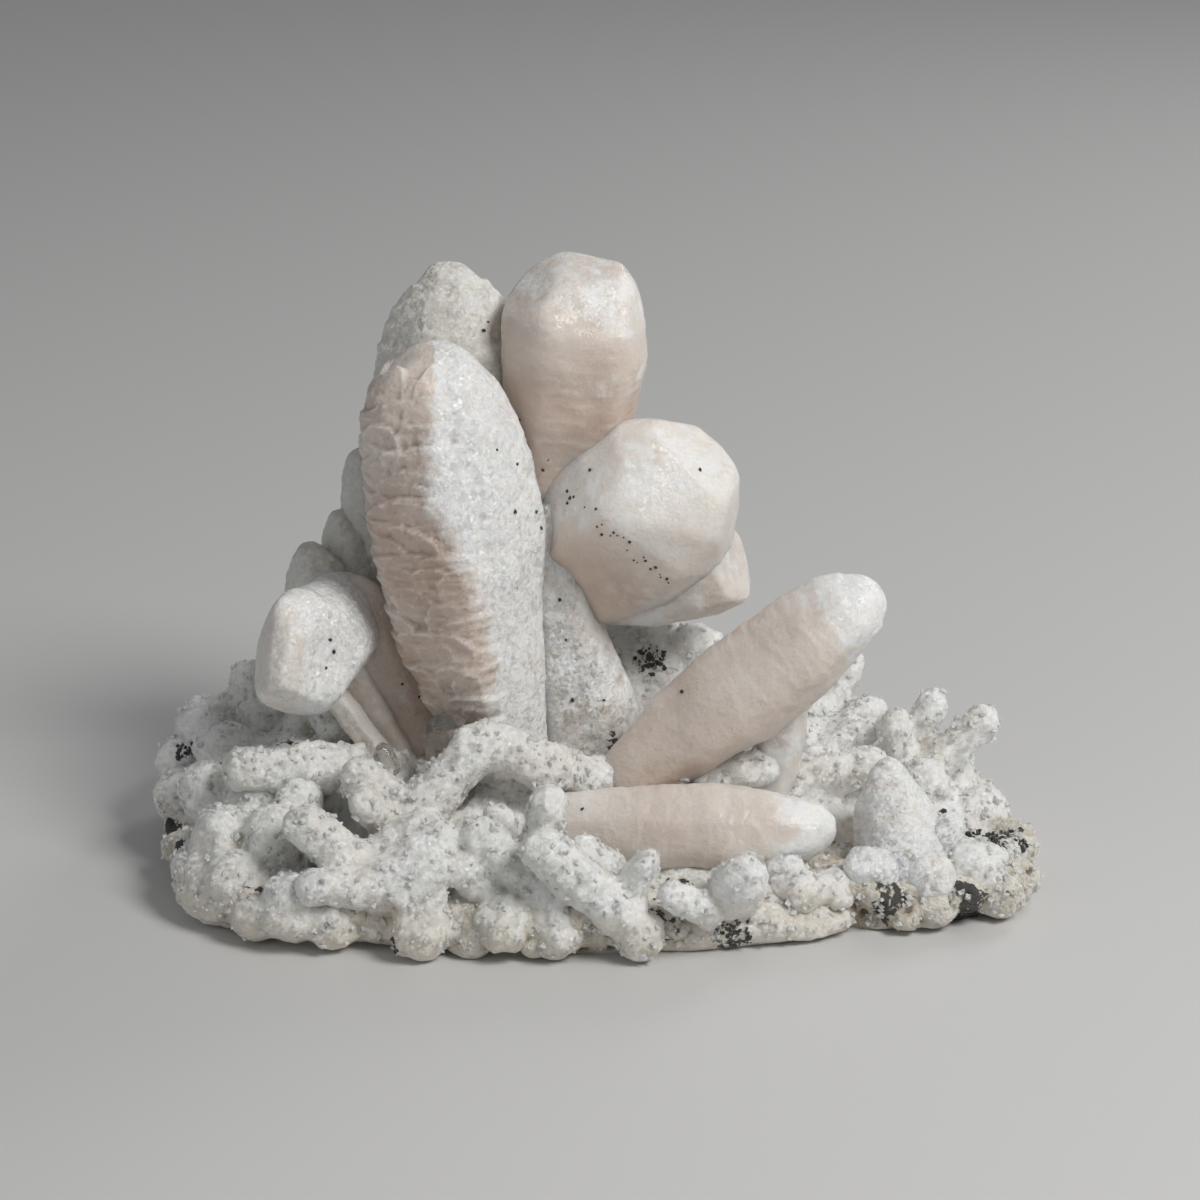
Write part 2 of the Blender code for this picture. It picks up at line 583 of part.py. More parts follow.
def add_back_crust(shape):
    """Lumps and short fingers over the slope that faces away from the front."""
    rng = random.Random(23)
    for number in range(BACK_LUMPS):
        angle = rng.uniform(10.0, 170.0)
        reach = rng.uniform(0.55, 0.98)
        x = BACK_HALF_WIDTH * reach * math.cos(math.radians(angle))
        y = BACK_START + BACK_DEPTH * reach * math.sin(math.radians(angle))
        radius = rng.uniform(*BACK_LUMP_RADIUS)
        height = ground(x, y) - rng.uniform(0.0, 0.5) * radius
        add_ball(shape, (x, y, height), (radius, radius, radius * 0.9), 100 + number)
    for number in range(BACK_FINGERS):
        angle = 15.0 + 150.0 * (number + rng.uniform(0.0, 0.8)) / BACK_FINGERS
        reach = rng.uniform(0.62, 0.86)
        x = BACK_HALF_WIDTH * reach * math.cos(math.radians(angle))
        y = BACK_START + BACK_DEPTH * reach * math.sin(math.radians(angle))
        radius = rng.uniform(*BACK_FINGER_RADIUS)
        length = rng.uniform(6.0, 10.0)
        lean = Vector((math.cos(math.radians(angle)), math.sin(math.radians(angle)), rng.uniform(0.5, 1.4)))
        root = Vector((x, y, ground(x, y) - 2.0))
        add_finger(shape, root, root + lean.normalized() * length, radius)


def build_matrix(group):
    """The rock plate with everything that is grown on it in one crust."""
    shape = bmesh.new()
    add_plate(shape)
    for number, (centre, radii) in enumerate(SWELLINGS):
        add_ball(shape, centre, radii, 200 + number)
    for root, tip, radius in FINGERS:
        add_finger(shape, root, tip, radius)
    for number, (centre, radius) in enumerate(LUMPS):
        add_ball(shape, centre, (radius, radius, radius), 300 + number)
    add_rim_knobs(shape)
    add_back_crust(shape)
    matrix = object_from_bmesh("matrix", shape, group)
    fuse = matrix.modifiers.new("fuse", "REMESH")
    fuse.mode = "VOXEL"
    fuse.voxel_size = VOXEL * MM
    apply_modifiers(matrix)
    keep_largest_body(matrix)
    simplify = matrix.modifiers.new("simplify", "DECIMATE")
    simplify.ratio = MATRIX_TRIANGLES / len(matrix.data.polygons)
    apply_modifiers(matrix)
    return matrix


def cut_flat(item, group):
    """The underside that the plate rests on."""
    block = bmesh.new()
    bmesh.ops.create_cube(block, size=1.0)
    bmesh.ops.scale(block, vec=(CUTTER_WIDTH, CUTTER_WIDTH, CUTTER_HEIGHT), verts=block.verts)
    bmesh.ops.translate(block, vec=(0.0, 0.0, -0.5 * CUTTER_HEIGHT), verts=block.verts)
    combine(item, object_from_bmesh("floor_cutter", block, group), "DIFFERENCE")


def cut_sockets(item, crystals, group):
    """Room for the crystals' roots, a little wider than the crystals."""
    for number, crystal in enumerate(crystals):
        plain = dict(crystal, ledges=None)
        shape = crystal_shape(plain, SOCKET_GAP, seed=number + 1)
        combine(item, object_from_bmesh("socket_cutter", shape, group), "DIFFERENCE")


def main():
    clear_scene()
    specimen = new_collection("manganocalcite_specimen")
    cutters = new_collection("cutters")

    pink = surface("pink calcite", (0.66, 0.56, 0.50), 0.45)
    pale = surface("pale calcite", (0.70, 0.66, 0.61), 0.45)
    druse = surface("white druse on rock", (0.62, 0.62, 0.57), 0.6)
    quartz = surface("clear quartz", (0.45, 0.42, 0.38), 0.15)

    groups = [
        ("main_crystals", CLUSTER, pink),
        ("diagonal_crystal", [DIAGONAL] + DIAGONAL_BLOCKS, pale),
        ("lying_crystal", [LYING], pale),
        ("corner_crystals", [CORNER] + CORNER_SIDE, pale),
        ("quartz_prisms", PRISMS, quartz),
    ]
    matrix = build_matrix(specimen)
    cut_flat(matrix, cutters)
    for name, crystals, material in groups:
        item = crystal_group(name, crystals, specimen)
        item.data.materials.clear()
        item.data.materials.append(material)
        cut_sockets(matrix, crystals, cutters)
    keep_largest_body(matrix)
    matrix.data.materials.clear()
    matrix.data.materials.append(druse)

    holder = bpy.data.objects.new("specimen_frame", None)
    specimen.objects.link(holder)
    holder.location = Vector(CENTRE_SHIFT) * MM
    for item in list(specimen.objects):
        if item is not holder:
            item.parent = holder


main()
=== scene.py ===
"""Looks of the manganocalcite specimen: dense crystal skins, druse crust, rock, ore grains and light.

Lengths are in millimetres in the specimen's own layout, which LAYOUT_SHIFT moves into the frame.
"""

import math
import random

import bmesh
import bpy
import numpy as np
from mathutils import Matrix, Vector, noise
from mathutils.bvhtree import BVHTree

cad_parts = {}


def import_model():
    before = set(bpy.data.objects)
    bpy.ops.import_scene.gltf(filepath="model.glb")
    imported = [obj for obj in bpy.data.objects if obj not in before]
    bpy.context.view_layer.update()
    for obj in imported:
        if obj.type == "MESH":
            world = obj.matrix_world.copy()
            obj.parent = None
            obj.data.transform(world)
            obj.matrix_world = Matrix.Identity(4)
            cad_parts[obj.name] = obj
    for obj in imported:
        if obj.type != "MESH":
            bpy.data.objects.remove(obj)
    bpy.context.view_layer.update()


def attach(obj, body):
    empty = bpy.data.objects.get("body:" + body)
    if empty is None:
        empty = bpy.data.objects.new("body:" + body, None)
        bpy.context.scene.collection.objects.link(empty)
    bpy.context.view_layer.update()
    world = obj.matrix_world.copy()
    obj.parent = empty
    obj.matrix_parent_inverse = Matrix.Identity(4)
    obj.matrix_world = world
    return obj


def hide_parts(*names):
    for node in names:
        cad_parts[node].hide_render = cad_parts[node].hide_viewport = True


MM = 0.001
LAYOUT_SHIFT = np.array([1.5, -1.5, 0.0])

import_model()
DRAFT = 1.0

# Triangle count of each piece that stands for a node.
TRIANGLES = {}


# Noise and mesh arithmetic on arrays of points.

HASH_MASK = 0xFFFFFFFF
HASH_STEPS = (374761393, 668265263, 1442695041, 974634777)
HASH_FACTORS = (1274126177, 2246822519)
HASH_RANGE = 0x1000000


def hashed(ix, iy, iz, seed):
    """A random number from 0 to 1 for each whole-number place."""
    a, b, c, d = HASH_STEPS
    h = (ix * a + iy * b + iz * c + seed * d) & HASH_MASK
    h = ((h ^ (h >> 13)) * HASH_FACTORS[0]) & HASH_MASK
    h = ((h ^ (h >> 16)) * HASH_FACTORS[1]) & HASH_MASK
    return ((h ^ (h >> 13)) & (HASH_RANGE - 1)) / float(HASH_RANGE)


def value_noise(points, size, seed):
    """Smooth noise from -1 to 1 with features of about the given size."""
    q = points / size
    cell = np.floor(q).astype(np.int64)
    f = q - cell
    f = f * f * f * (f * (f * 6.0 - 15.0) + 10.0)
    total = np.zeros(len(q))
    for dx in (0, 1):
        wx = f[:, 0] if dx else 1.0 - f[:, 0]
        for dy in (0, 1):
            wy = f[:, 1] if dy else 1.0 - f[:, 1]
            for dz in (0, 1):
                wz = f[:, 2] if dz else 1.0 - f[:, 2]
                corner = hashed(cell[:, 0] + dx, cell[:, 1] + dy, cell[:, 2] + dz, seed)
                total += wx * wy * wz * corner
    return total * 2.0 - 1.0


def fractal(points, size, seed, octaves=3):
    """Noise of the given size with finer and weaker noise on it."""
    total = np.zeros(len(points))
    weight, scale = 1.0, size
    for octave in range(octaves):
        total += weight * value_noise(points, scale, seed + 17 * octave)
        weight *= 0.5
        scale *= 0.5
    return total


def cells(points, size, seed, block=False):
    """Distance to the nearest of scattered seed points, and that seed point's own number."""
    q = points / size
    base = np.floor(q - 0.5).astype(np.int64)
    near = np.full(len(q), 9.0)
    mark = np.zeros(len(q))
    for corner in range(8):
        ix = base[:, 0] + (corner & 1)
        iy = base[:, 1] + (corner >> 1 & 1)
        iz = base[:, 2] + (corner >> 2 & 1)
        rx, ry, rz = (hashed(ix, iy, iz, seed + axis) for axis in range(3))
        dx = q[:, 0] - (ix + 0.15 + 0.7 * rx)
        dy = q[:, 1] - (iy + 0.15 + 0.7 * ry)
        dz = q[:, 2] - (iz + 0.15 + 0.7 * rz)
        if block:
            ax = np.abs(dx * (0.7 + 0.3 * ry) + dy * (rz - 0.5))
            ay = np.abs(dy * (0.7 + 0.3 * rz) + dz * (rx - 0.5))
            az = np.abs(dz * (0.7 + 0.3 * rx) + dx * (ry - 0.5))
            distance = np.maximum(np.maximum(ax, ay), az) * 1.25
        else:
            distance = np.sqrt(dx * dx + dy * dy + dz * dz)
        closer = distance < near
        mark = np.where(closer, rx, mark)
        near = np.where(closer, distance, near)
    return near, mark


def smoothstep(low, high, value):
    t = np.clip((value - low) / (high - low), 0.0, 1.0)
    return t * t * (3.0 - 2.0 * t)


def smooth_max(a, b, rounding):
    return 0.5 * (a + b + np.sqrt((a - b) ** 2 + rounding * rounding))


def vertex_normals(points, quads):
    """Outward normals of a closed surface of quads. A triangle is a quad that repeats its last corner."""
    a, b, c, d = (points[quads[:, k]] for k in range(4))
    face = np.cross(c - a, d - b)
    normals = np.zeros_like(points)
    for k in range(4):
        for axis in range(3):
            normals[:, axis] += np.bincount(quads[:, k], face[:, axis], len(points))
    length = np.linalg.norm(normals, axis=1, keepdims=True)
    return normals / np.maximum(length, 1e-12)


def facing_out(points, quads):
    """The quads, all turned over if they face the inside of the form."""
    a, b, c = (points[quads[:, k]] for k in range(3))
    if np.sum(np.cross(a, b) * c) < 0.0:
        real = quads[:, 3] != quads[:, 2]
        return np.where(real[:, None], quads[:, ::-1], quads[:, [1, 0, 2, 3]])
    return quads


def relaxed(points, quads, rounds, share=0.6):
    """The points after each has moved toward the mean of its neighbours a few times."""
    count = np.zeros(len(points))
    for k in range(4):
        count += 2.0 * np.bincount(quads[:, k], minlength=len(points))
    count = np.maximum(count, 1.0)
    result = points.copy()
    for _ in range(rounds):
        total = np.zeros_like(result)
        for k in range(4):
            a, b = quads[:, k], quads[:, (k + 1) % 4]
            for axis in range(3):
                total[:, axis] += np.bincount(a, result[b, axis], len(result))
                total[:, axis] += np.bincount(b, result[a, axis], len(result))
        result += share * (total / count[:, None] - result)
    return result


def hollowness(points, quads, rounds, depth):
    """From -1 on ridges to 1 in hollows, from how far the surface lies under its own smoothed form."""
    smooth = relaxed(points, quads, rounds)
    normals = vertex_normals(points, quads)
    return np.clip(np.sum((smooth - points) * normals, axis=1) / depth, -1.0, 1.0)


def make_piece(name, points, quads, material, node, layers=None, smooth=True):
    """A shown mesh that stands for a node, with the given material, and hides that node's own part."""
    placed = (points + LAYOUT_SHIFT) * MM
    real = quads[:, 3] != quads[:, 2]
    sizes = np.where(real, 4, 3)
    keep = np.ones(quads.shape, dtype=bool)
    keep[:, 3] = real
    corners = quads[keep]
    mesh = bpy.data.meshes.new(name)
    mesh.vertices.add(len(placed))
    mesh.vertices.foreach_set("co", placed.astype(np.float32).ravel())
    mesh.loops.add(len(corners))
    mesh.loops.foreach_set("vertex_index", corners.astype(np.int32))
    mesh.polygons.add(len(quads))
    mesh.polygons.foreach_set("loop_start", (np.cumsum(sizes) - sizes).astype(np.int32))
    mesh.update(calc_edges=True)
    mesh.validate()
    mesh.polygons.foreach_set("use_smooth", np.full(len(mesh.polygons), smooth))
    for layer, values in (layers or {}).items():
        field = mesh.attributes.new(layer, "FLOAT", "POINT")
        field.data.foreach_set("value", values.astype(np.float32))
    item = bpy.data.objects.new(name, mesh)
    bpy.context.scene.collection.objects.link(item)
    mesh.materials.append(material)
    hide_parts(node)
    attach(item, "root")
    TRIANGLES[name] = int(len(quads) + np.count_nonzero(real))
    return item


# Crystals. Each section is a place along the axis from root to tip, then the half widths to the left,
# right, front and back. The tables are those of the solid model, but for changes to the tooth, its
# under-layer and the upper slope crystal.

COLUMN = dict(
    root=(-13.4, 3, 7), tip=(-23.6, 2, 78.6), power=(1.55, 1.9),
    sections=[
        (0, 6, 5.5, 5, 6), (0.12, 7.6, 7, 6, 7), (0.22, 8.4, 7.6, 7.2, 7.6), (0.32, 10.8, 8.6, 8.6, 8.4),
        (0.42, 12.4, 9.6, 9.6, 8.8), (0.54, 13.3, 10.6, 10.4, 9), (0.66, 13.4, 11, 10.4, 9),
        (0.75, 12.9, 11.4, 9.8, 8.6), (0.83, 12.5, 10.4, 8.8, 8), (0.9, 11.5, 8.4, 7.4, 7),
        (0.95, 9.8, 6, 5.6, 5.6), (1, 6.4, 3.2, 2.6, 3),
    ],
    facets=[((-24, -4, 74.5), (-0.22, -0.62, 0.75))],
)
REAR_CRYSTAL = dict(
    root=(-17, 18, 14), tip=(-22, 17, 87), power=(1.8, 1.9),
    sections=[
        (0, 7, 7, 7, 6), (0.3, 9.5, 8.5, 9, 8), (0.6, 12, 9.5, 10, 9), (0.74, 12.4, 9.5, 10, 9),
        (0.86, 10.2, 9, 8.6, 8), (0.93, 7.6, 7.4, 6.4, 6), (1, 2.6, 2.4, 2.4, 2.2),
    ],
)
TOP_CRYSTAL = dict(
    root=(-9, 15, 34), tip=(-1.2, 11, 89.3), power=(2.2, 2),
    sections=[
        (0, 3.5, 3.5, 4, 4), (0.3, 5.5, 6, 6, 6), (0.48, 8.2, 9, 8, 8), (0.62, 10.2, 10.4, 10, 10),
        (0.75, 11.8, 10.6, 11.5, 11), (0.86, 12.2, 9.2, 11, 10), (0.93, 10, 7.6, 8.6, 8.4),
        (1, 6.2, 4.2, 5, 5),
    ],
    facets=[((-1, 1, 84.5), (0.06, -0.3, 0.95)), ((7.5, 8, 83), (0.72, -0.2, 0.66)),
            ((-10, 8, 85), (-0.62, -0.3, 0.72)), ((0, -1.5, 74), (-0.05, -0.93, -0.36))],
)
TOOTH = dict(
    root=(-7, 14, 36), tip=(14.5, 3.5, 61.5), power=(2.3, 2.1), tip_faces=0, edge_rounding=0.4,
    sections=[
        (0, 6, 6, 6, 6), (0.25, 11, 11, 9, 9), (0.48, 13.4, 14, 11.5, 11), (0.68, 13.2, 14.6, 12, 11.5),
        (0.86, 11.6, 12.6, 10.4, 10.4), (1, 8, 8.6, 7, 7.6),
    ],
    facets=[((8, -3.4, 56), (0.12, -0.9, 0.4)), ((2, -3.5, 46), (-0.52, -0.72, -0.46)),
            ((18.9, 4, 52), (0.95, -0.25, -0.1)), ((10, 2, 68.6), (-0.05, -0.1, 1))],
)
TOOTH_UNDERLAYER = dict(
    root=(-2, 16, 36), tip=(20, 7.5, 44), power=(2.2, 2.2), tip_faces=0,
    sections=[
        (0, 5, 4.5, 5, 5), (0.4, 7.6, 6.6, 8, 7), (0.8, 7.8, 6.8, 8.4, 7), (1, 6.6, 5.8, 6.8, 6),
    ],
)
PALE_COLUMN = dict(
    root=(0.6, 9, 7), tip=(-7, 6, 54.5), power=(2, 2),
    sections=[
        (0, 9.4, 7.4, 7, 7), (0.16, 9, 7.6, 7, 7), (0.32, 8, 7.6, 6.4, 7), (0.5, 7, 5.2, 5.2, 7),
        (0.75, 5.4, 4, 4, 6), (0.92, 4, 2.2, 2.8, 4), (1, 1.8, 1.2, 1.4, 2),
    ],
)
LEFT_CRYSTAL = dict(
    root=(-37, 12, 34), tip=(-45, -14, 34.5), power=(1.5, 2.4),
    sections=[
        (0, 6, 6, 7, 7), (0.35, 7, 7, 8.4, 8.2), (0.65, 7.6, 7.4, 9.8, 10), (0.85, 7.4, 7, 9.6, 9.4),
        (1, 5.4, 5, 7, 6.6),
    ],
    facets=[((-47.5, -10.5, 38), (-0.45, -0.78, 0.42)), ((-45, -11.5, 28.5), (-0.1, -0.84, -0.54)),
            ((-40, -9, 35), (0.66, -0.74, 0.1))],
)
BROWN_CRYSTAL = dict(
    root=(-22.5, 8, 8), tip=(-36.6, 8, 42), power=(2, 2),
    sections=[
        (0, 4.4, 5.4, 4.2, 4), (0.4, 4.8, 6, 4.8, 5), (0.75, 5.2, 5, 5, 5), (0.92, 3.4, 3, 3.6, 4),
        (1, 1.4, 1.4, 1.4, 1.6),
    ],
)
BROWN_COMPANION = dict(
    root=(-26, 6, 8), tip=(-39.5, 7, 35), power=(2, 2),
    sections=[
        (0, 3.8, 3.2, 3.6, 4), (0.5, 4.2, 3.4, 4.2, 5), (0.85, 3.8, 3, 3.8, 4.6), (1, 1.8, 1.6, 1.8, 2.4),
    ],
)
THIN_PRISM = dict(
    root=(-27.6, 1.2, 8), tip=(-40.5, 2.5, 27.5), power=(2.4, 2.4),
    sections=[
        (0, 2.2, 2.2, 2.2, 3.4), (0.7, 2.2, 2.2, 2.2, 4.4), (1, 1.6, 1.6, 1.6, 4),
    ],
)
SLOPE_UPPER = dict(
    root=(-32.1, 20.2, 16), tip=(-35.8, 19.5, 57.5), power=(2.6, 2.2),
    sections=[
        (0, 6.4, 9.2, 6.2, 6.2), (0.62, 4.6, 8.6, 5, 5), (0.89, 2.8, 6.6, 3.6, 3.6), (1, 1.4, 4.4, 2, 2),
    ],
)
SLOPE_MIDDLE = dict(
    root=(-35, 19, 18), tip=(-38.6, 17.5, 49), power=(2.6, 2.2),
    sections=[
        (0, 7, 8, 7, 7), (0.55, 5.4, 7.4, 5.6, 6), (0.88, 3.6, 5, 3.8, 4.6), (1, 1.8, 2.4, 2, 2.6),
    ],
)
SLOPE_LOWER = dict(
    root=(-37, 17, 16), tip=(-43.8, 12.5, 45.5), power=(2.6, 2.2),
    sections=[
        (0, 8, 7, 7, 8), (0.5, 6.2, 6.4, 6.2, 7), (0.85, 4.2, 5, 4.4, 5), (1, 1.8, 2.6, 2, 2.8),
    ],
    facets=[((-44, 8, 40), (-0.45, -0.7, 0.55))],
)
DIAGONAL = dict(
    root=(3, -6.5, 14.5), tip=(40, -8.5, 45.5), power=(1.8, 1.9),
    sections=[
        (0, 4.6, 4.4, 4.4, 4), (0.14, 6.2, 5.6, 5.6, 5), (0.28, 7.6, 6.6, 6.6, 6),
        (0.45, 8.2, 7.4, 7.2, 6.6), (0.62, 8.2, 7, 7.2, 6.6), (0.78, 7.8, 6, 6.6, 6.2),
        (0.9, 6.6, 4.8, 5.4, 5), (0.97, 4.6, 3.2, 3.8, 3.6), (1, 2.4, 1.8, 2, 2),
    ],
)
DIAGONAL_BLOCK = dict(
    root=(24.5, -3, 9), tip=(28, -4.5, 28.5), power=(2.6, 2.4),
    sections=[(0, 4.2, 3.6, 4, 4), (0.7, 4, 3.4, 3.8, 4), (1, 2.2, 2, 2, 2.2)],
)
LYING = dict(
    root=(-7.5, -15.5, 12), tip=(34, -19.5, 13.6), power=(1.7, 2),
    sections=[
        (0, 4.6, 4.6, 4.4, 4.4), (0.2, 5.8, 5.2, 5.6, 5.4), (0.4, 6.6, 6.6, 6.6, 6),
        (0.58, 6.7, 7.4, 7, 6.2), (0.74, 5.6, 7, 6.4, 5.8), (0.87, 4.4, 5.2, 5, 4.8),
        (0.95, 3.2, 4, 3.8, 3.6), (1, 1.6, 2.2, 2, 2),
    ],
)
CORNER = dict(
    root=(44.6, -16.5, 5), tip=(41.2, -13, 22), power=(1.6, 1.8),
    sections=[
        (0, 8.4, 6.8, 8.4, 6), (0.22, 8, 6.2, 7.6, 6), (0.62, 6.2, 4.4, 5.4, 4.6), (0.9, 3, 2, 2.6, 2.4),
        (1, 1, 0.8, 0.8, 0.8),
    ],
)
CORNER_LEFT = dict(
    root=(42, -20, 6.5), tip=(34.5, -24.5, 10.5), power=(2, 2),
    sections=[(0, 3.6, 3.6, 3.4, 3.4), (0.75, 3.2, 3.4, 3.2, 3.2), (1, 1.6, 1.6, 1.6, 1.6)],
)
CORNER_FRONT = dict(
    root=(44, -18, 7), tip=(49.5, -25, 6.5), power=(2, 2),
    sections=[(0, 4, 4, 4, 3.6), (0.75, 3.8, 3.8, 3.6, 3.4), (1, 2, 2, 2, 2)],
)
CORNER_RIGHT = dict(
    root=(46, -15, 6), tip=(51, -17.5, 14.5), power=(2, 2),
    sections=[(0, 3, 3, 3, 3), (0.7, 2.8, 2.8, 2.8, 2.8), (1, 1.6, 1.6, 1.6, 1.6)],
)

# Flat faces round a long and a short crystal, where the first one looks, how far they stray and how sharp
# the edges between them are.
FACE_COUNT = (7, 6)
LONG_CRYSTAL = 50.0
FACE_TURN = 0.35
FACE_STAGGER = 0.28
FACE_TWIST = 0.25
FACE_DEPTH = (1.0, 1.07)
OVAL_SHARE = 0.95
EDGE_SHARPNESS = 18.0

# Slanting faces that break the tip: number, first turn, slant, and how far out and back they stand.
TIP_FACES = 3
TIP_TURN = -1.2
TIP_STAGGER = 0.3
TIP_LEAN = (0.55, 0.95)
TIP_REACH = (0.22, 0.34)
TIP_BACK = 0.12

# Rounding of the edges at the tip, at the root, between tip faces and at the listed facets.
TIP_ROUNDING = 0.8
ROOT_ROUNDING = 1.0
TIP_FACE_ROUNDING = 0.5
FACET_ROUNDING = 0.6

# How far a growth scale's rim bows down at its sides, how soft its step is and how far round it reaches.
SCALE_BOW = 0.25
SCALE_STEP = 0.35
SCALE_SPREAD = 1.15

# Rows of scales: how far every second row is turned, how much a scale strays from its row and leans, the
# gap to the next one, the girth that turns a gap into an angle, and the pitch of the rows.
ROW_TURN = 7.0
TURN_STRAY = 3.0
HEIGHT_STRAY = 0.35
SCALE_LEAN = 0.18
SCALE_GAP = (1.1, 1.9)
SCALE_GIRTH = 12.0
ROW_PITCH = (0.8, 1.2)

# Frosting: size of its coarse grains against the fine ones. And how much painted grey-green shade the
# materials get.
COARSE_SIZE = 2.3
GREY_SHARE = 0.75

# Rounded caps of a crystal's grid: inset from each end, as shares of its radius and length, and the least
# number of points round it, of rings on a cap and of rings between them.
CAP_INSET = (0.75, 0.4)
LEAST_AROUND = 24
LEAST_CAP_RINGS = 6
LEAST_SIDE_RINGS = 4

# Steps of the smoothed sections and of the search for the surface, which starts from the widest reach.
SECTION_STEPS = 201
SECTION_KERNEL = 17
WIDEST = 45.0
SEARCH_ROUNDS = 20


def axes_of(root, tip):
    """The crystal's own directions: along it, to its right and to its back.

    On a crystal that points forward, its back is its upper side."""
    along = (Vector(tip) - Vector(root)).normalized()
    points_forward = abs(along.y) > 0.8
    right = Vector((1.0, 0.0, 0.0)) if points_forward else Vector((along.z, 0.0, -along.x))
    right = (right - right.dot(along) * along).normalized()
    back = along.cross(right)
    if back.y < 0.0 and not points_forward:
        back = -back
    return np.array(along), np.array(right), np.array(back)


def smooth_sections(sections):
    """The four half widths at close places along the crystal, without corners at the listed ones."""
    table = np.array(sections)
    places = np.linspace(0.0, 1.0, SECTION_STEPS)
    kernel = np.exp(-np.linspace(-2.0, 2.0, SECTION_KERNEL) ** 2)
    kernel /= kernel.sum()
    margin = SECTION_KERNEL // 2
    widths = []
    for column in range(1, 5):
        line = np.interp(places, table[:, 0], table[:, column])
        padded = np.concatenate([np.full(margin, line[0]), line, np.full(margin, line[-1])])
        widths.append(np.convolve(padded, kernel, mode="valid"))
    return places, np.array(widths)


def mean_width(crystal):
    return float(np.mean([row[1:] for row in crystal["sections"]]))


def depth_in(crystal, points):
    """Below 0 inside the crystal's form and above 0 outside, in about millimetres."""
    root, tip = np.array(crystal["root"]), np.array(crystal["tip"])
    along, right, back = axes_of(root, tip)
    length = np.linalg.norm(tip - root)
    local = points - root
    u = local @ along / length
    x, y = local @ right, local @ back
    places, widths = crystal["smooth"]
    left_w, right_w, front_w, back_w = (np.interp(u, places, row) for row in widths)
    wide = np.where(x > 0.0, right_w, left_w)
    thick = np.where(y > 0.0, back_w, front_w)
    front_power, back_power = crystal["power"]
    power = np.where(y > 0.0, back_power, front_power)
    oval = (np.abs(x / wide) ** power + np.abs(y / thick) ** power + 1e-9) ** (1.0 / power)
    rng = random.Random(int(abs(root[0]) * 37.0 + abs(tip[2]) * 11.0))
    flats = FACE_COUNT[0] if length > LONG_CRYSTAL else FACE_COUNT[1]
    bundle = (OVAL_SHARE * oval) ** EDGE_SHARPNESS
    for number in range(flats):
        stagger = rng.uniform(-FACE_STAGGER, FACE_STAGGER)
        turn = 2.0 * math.pi * (number + stagger) / flats + FACE_TURN
        twist = turn + rng.uniform(-FACE_TWIST, FACE_TWIST) * (u - 0.5)
        side = (x / wide) * np.cos(twist) + (y / thick) * np.sin(twist)
        bundle = bundle + np.maximum(side * rng.uniform(*FACE_DEPTH), 0.0) ** EDGE_SHARPNESS
    result = (bundle ** (1.0 / EDGE_SHARPNESS) - 1.0) * np.sqrt(wide * thick)
    result = smooth_max(result, (u - 1.0) * length, TIP_ROUNDING)
    result = smooth_max(result, -u * length, ROOT_ROUNDING)
    girth = mean_width(crystal)
    for number in range(crystal.get("tip_faces", TIP_FACES)):
        turn = 2.0 * math.pi * (number + rng.uniform(-TIP_STAGGER, TIP_STAGGER)) / TIP_FACES + TIP_TURN
        lean = rng.uniform(*TIP_LEAN)
        sideways = right * math.cos(turn) + back * math.sin(turn)
        face = along * math.cos(lean) + sideways * math.sin(lean)
        shoulder = tip + face * girth * rng.uniform(*TIP_REACH) - along * girth * TIP_BACK
        result = smooth_max(result, (points - shoulder) @ face, TIP_FACE_ROUNDING)
    for point, normal in crystal.get("facets", []):
        unit = np.array(normal) / np.linalg.norm(normal)
        rounding = crystal.get("edge_rounding", FACET_ROUNDING)
        result = smooth_max(result, (points - np.array(point)) @ unit, rounding)
    return result


def closed_quads(rings, around):
    """Quads of a closed grid of rings, with a pole after the last ring for the root and one for the tip."""
    index = np.arange(rings * around).reshape(rings, around)
    after = np.roll(index, -1, axis=1)
    sides = np.stack([index[:-1], after[:-1], after[1:], index[1:]], axis=-1).reshape(-1, 4)
    root_pole, tip_pole = (np.full(around, rings * around + end) for end in (0, 1))
    root_cap = np.stack([root_pole, after[0], index[0], index[0]], axis=-1)
    tip_cap = np.stack([index[-1], after[-1], tip_pole, tip_pole], axis=-1)
    return np.concatenate([sides, root_cap, tip_cap])


